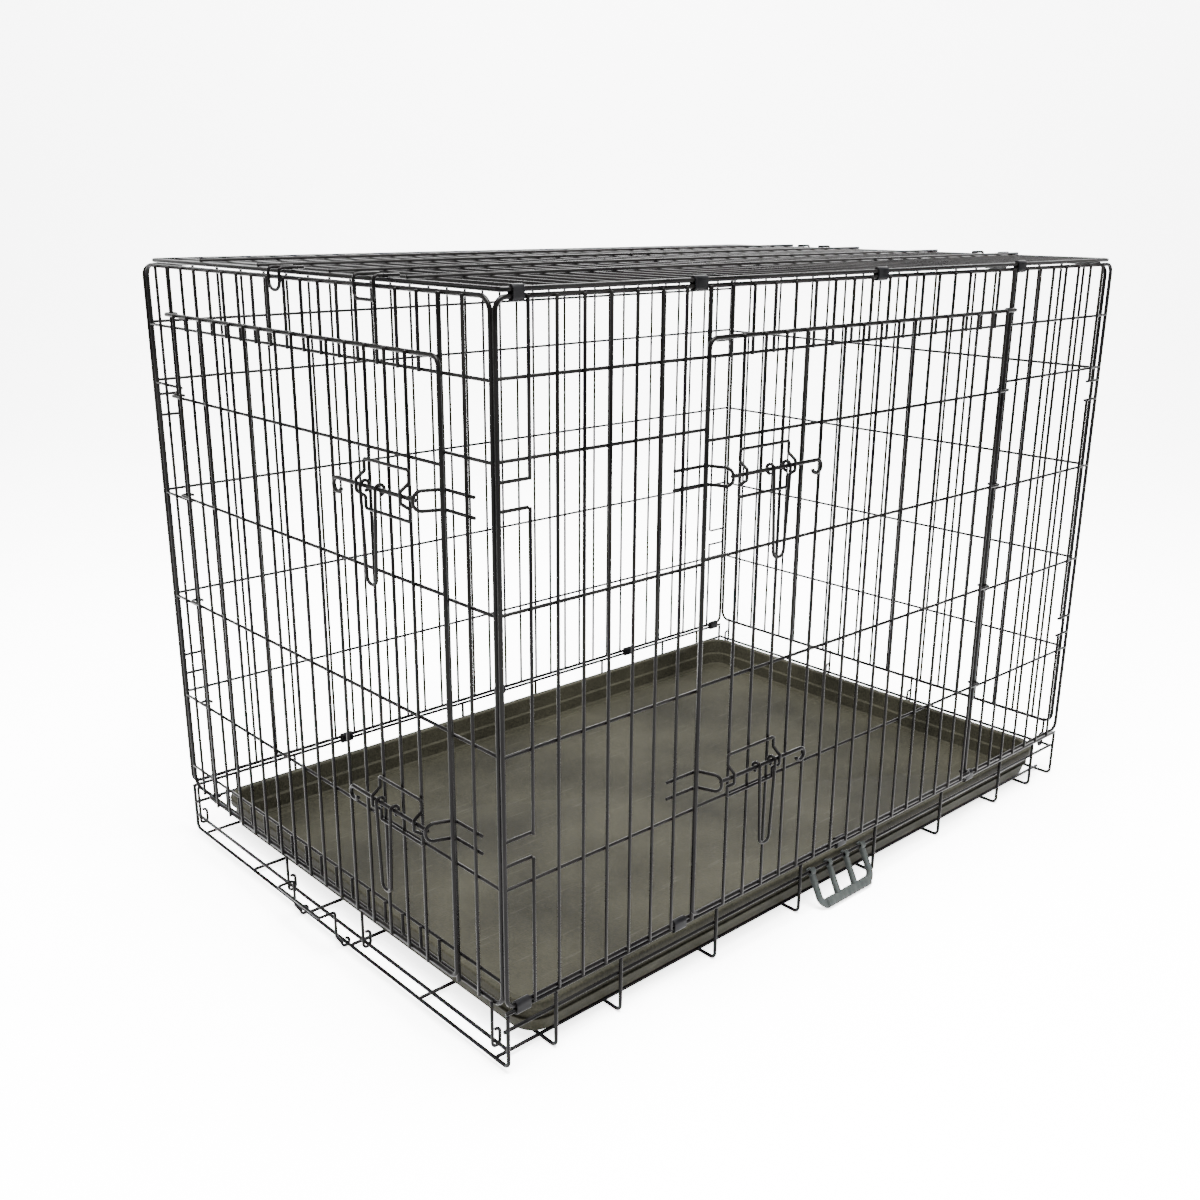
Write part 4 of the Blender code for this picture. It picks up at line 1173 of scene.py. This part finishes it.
@dataclass
class Studio:
    """A pale sweep, soft lights and the photograph's camera."""

    yaw: float = math.radians(47.57)
    pitch: float = math.radians(17.35)
    roll: float = math.radians(0.39)
    spot: Spot = (1.1996, -1.1913, 0.8361)
    lens: float = 38.09
    film: float = 36.0
    rise_at: float = 2.6
    curve: float = 1.6
    shade: Colour = (0.93, 0.93, 0.93)
    glow: float = 3.4
    sky_light: float = 0.45
    sky_seen: float = 5.0
    lamps: tuple[tuple[str, Spot, float, float, float], ...] = (
        ("top_lamp", (0.6, -0.4, 2.9), 0.3, 1.7, 1150),
        ("left_lamp", (-1.6, -2.8, 1.7), 0.4, 1.6, 110),
        ("back_lamp", (-2.2, 2.0, 2.7), 0.7, 1.3, 120),
        ("right_lamp", (3.0, 0.9, 1.5), 0.4, 1.4, 70))

    def paper(self) -> bpy.types.Material:
        """White paper that glows a little, with a faint tone.

        Returns:
            The material.
        """
        sheet = NodeSheet("paper")
        tone = sheet.ramp(sheet.noise(3.0, 3.0), 0.3, 0.7)
        sheet.feed("Base Color", sheet.blend(tone, tuple(0.985 * c for c in self.shade),
                                             self.shade))
        sheet.feed("Roughness", 0.75 + tone * 0.1)
        sheet.feed("Specular IOR Level", 0.10)
        sheet.feed("Emission Color", (1.0, 1.0, 1.0, 1.0))
        sheet.feed("Emission Strength", self.glow)
        return sheet.material

    def sweep(self) -> bpy.types.Object:
        """The floor and backdrop: flat, then a quarter circle, then upright.

        Returns:
            The sweep.
        """
        flat = np.linspace(-5.0, self.rise_at, 12)
        angle = np.linspace(0, np.pi / 2, 17)[1:]
        along = np.concatenate([flat, self.rise_at + self.curve * np.sin(angle),
                                [self.rise_at + self.curve]])
        high = np.concatenate([np.zeros(12), self.curve * (1 - np.cos(angle)), [5.0]])
        across = np.linspace(-7, 7, 9)[:, None]
        ahead = np.array([-math.sin(self.yaw), math.cos(self.yaw), 0])
        right = np.array([math.cos(self.yaw), math.sin(self.yaw), 0])
        verts = (ahead * along[None, :, None] + right * across[..., None]
                 + np.array([0, 0, 1.0]) * high[None, :, None])
        number = np.arange(across.size * along.size).reshape(across.size, along.size)
        quads = np.stack([number[:-1, :-1], number[1:, :-1], number[1:, 1:], number[:-1, 1:]], -1)
        mesh = bpy.data.meshes.new("paper_sweep")
        mesh.from_pydata(verts.reshape(-1, 3).tolist(), [], quads.reshape(-1, 4).tolist())
        mesh.shade_smooth()
        mesh.materials.append(self.paper())
        return new_object("paper_sweep", mesh)

    def lamp(self, name: str, spot: Point, aim: float, size: float,
             power: float) -> bpy.types.Object:
        """A square soft lamp that faces the crate.

        Args:
            name: its name.
            spot: where it stands.
            aim: the height above the crate's middle that it faces.
            size: of its side.
            power: in watts.
        Returns:
            The lamp.
        """
        light = bpy.data.lights.new(name, "AREA")
        light.shape, light.size, light.energy = "SQUARE", size, power
        back = unit(np.asarray(spot) - (0, 0, aim))
        nearly_up = (0.01, 0.02, 1.0)
        right = unit(np.cross(nearly_up, back))
        thing = new_object(name, light)
        thing.matrix_world = Matrix(place_of(spot, right, np.cross(back, right), back).tolist())
        return thing

    def camera(self) -> None:
        """Stand the camera where the photograph was taken from."""
        a, e = self.yaw, self.pitch
        back = np.array([math.sin(a) * math.cos(e), -math.cos(a) * math.cos(e), math.sin(e)])
        level = np.array([math.cos(a), math.sin(a), 0.0])
        right = level * math.cos(self.roll) + np.cross(back, level) * math.sin(self.roll)
        data = bpy.data.cameras.new("photograph_camera")
        data.lens, data.sensor_width, data.clip_start = self.lens, self.film, 0.02
        thing = new_object("photograph_camera", data)
        thing.matrix_world = Matrix(
            place_of(self.spot, right, np.cross(back, right), back).tolist())
        bpy.context.scene.camera = thing

    def world(self) -> None:
        """A white sky that lights the crate softly and is seen as a bright wall."""
        world = bpy.data.worlds.new("soft_room")
        world.use_nodes = True
        tree = world.node_tree
        sky, rays = tree.nodes["Background"], tree.nodes.new("ShaderNodeLightPath")
        gain = tree.nodes.new("ShaderNodeMapRange")
        gain.inputs["To Min"].default_value = self.sky_light
        gain.inputs["To Max"].default_value = self.sky_seen
        tree.links.new(rays.outputs["Is Camera Ray"], gain.inputs["Value"])
        tree.links.new(gain.outputs[0], sky.inputs["Strength"])
        sky.inputs["Color"].default_value = (1, 1, 1, 1)
        bpy.context.scene.world = world

    def build(self) -> None:
        """Set up the sky, the sweep, the lamps and the camera."""
        self.world()
        self.sweep()
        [self.lamp(*lamp) for lamp in self.lamps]
        self.camera()


class Part(Protocol):
    """A sub-assembly that draws its own pieces."""

    def build(self) -> None:
        """Draw them."""


def crate_parts() -> list[Part]:
    """Every part of the crate, ready to build, from the base up.

    Returns:
        The parts.
    """
    side_first, side_last = (-SIDE_HALF + SIDE_PITCH * k for k in SIDE_DOORWAY)
    front_first, front_last = (-END_HALF + END_PITCH * k for k in FRONT_DOORWAY)
    return [
        BaseFrame(),
        SidePanel("near_side_panel", "near_side", NEAR, SIDE_HALF, SIDE_BOTTOM, SIDE_TOP,
                  doorway=SIDE_DOORWAY),
        SidePanel("far_side_panel", "far_side", FAR, SIDE_HALF, SIDE_BOTTOM, SIDE_TOP),
        EndPanel("front_end_panel", "front_end", FRONT, END_HALF, 0.074, END_TOP,
                 levels=(0.103, 0.206, 0.345, 0.482, 0.621, 0.692), doorway=FRONT_DOORWAY),
        EndPanel("rear_end_panel", "rear_end", REAR, END_HALF, 0.084, END_TOP,
                 levels=(0.208, 0.346, 0.484, 0.621), pivot=MID_Z),
        Lid("top_panel", "lid", LID, SIDE_HALF - LID_INSET, -RAIL_X, RAIL_X - 0.0076),
        WireDoor("side", NEAR, "near_side", side_last, -1, side_last - side_first,
                 SIDE_BOTTOM + 0.0081, 0.713, (0.217, 0.355, 0.492, 0.614), SIDE_PITCH),
        WireDoor("front", FRONT, "front_end", front_first, 1, front_last - front_first,
                 0.0815, 0.708, (0.216, 0.354, 0.490, 0.612), END_PITCH),
        Tray(), HingeSleeves(), TrayStop(), CarryHandle()]


def main() -> None:
    """Load the model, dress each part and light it."""
    logging.basicConfig(level=logging.INFO, format="%(name)s: %(message)s")
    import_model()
    for part in crate_parts():
        part.build()
    Studio().build()


if __name__ == "__main__":
    main()
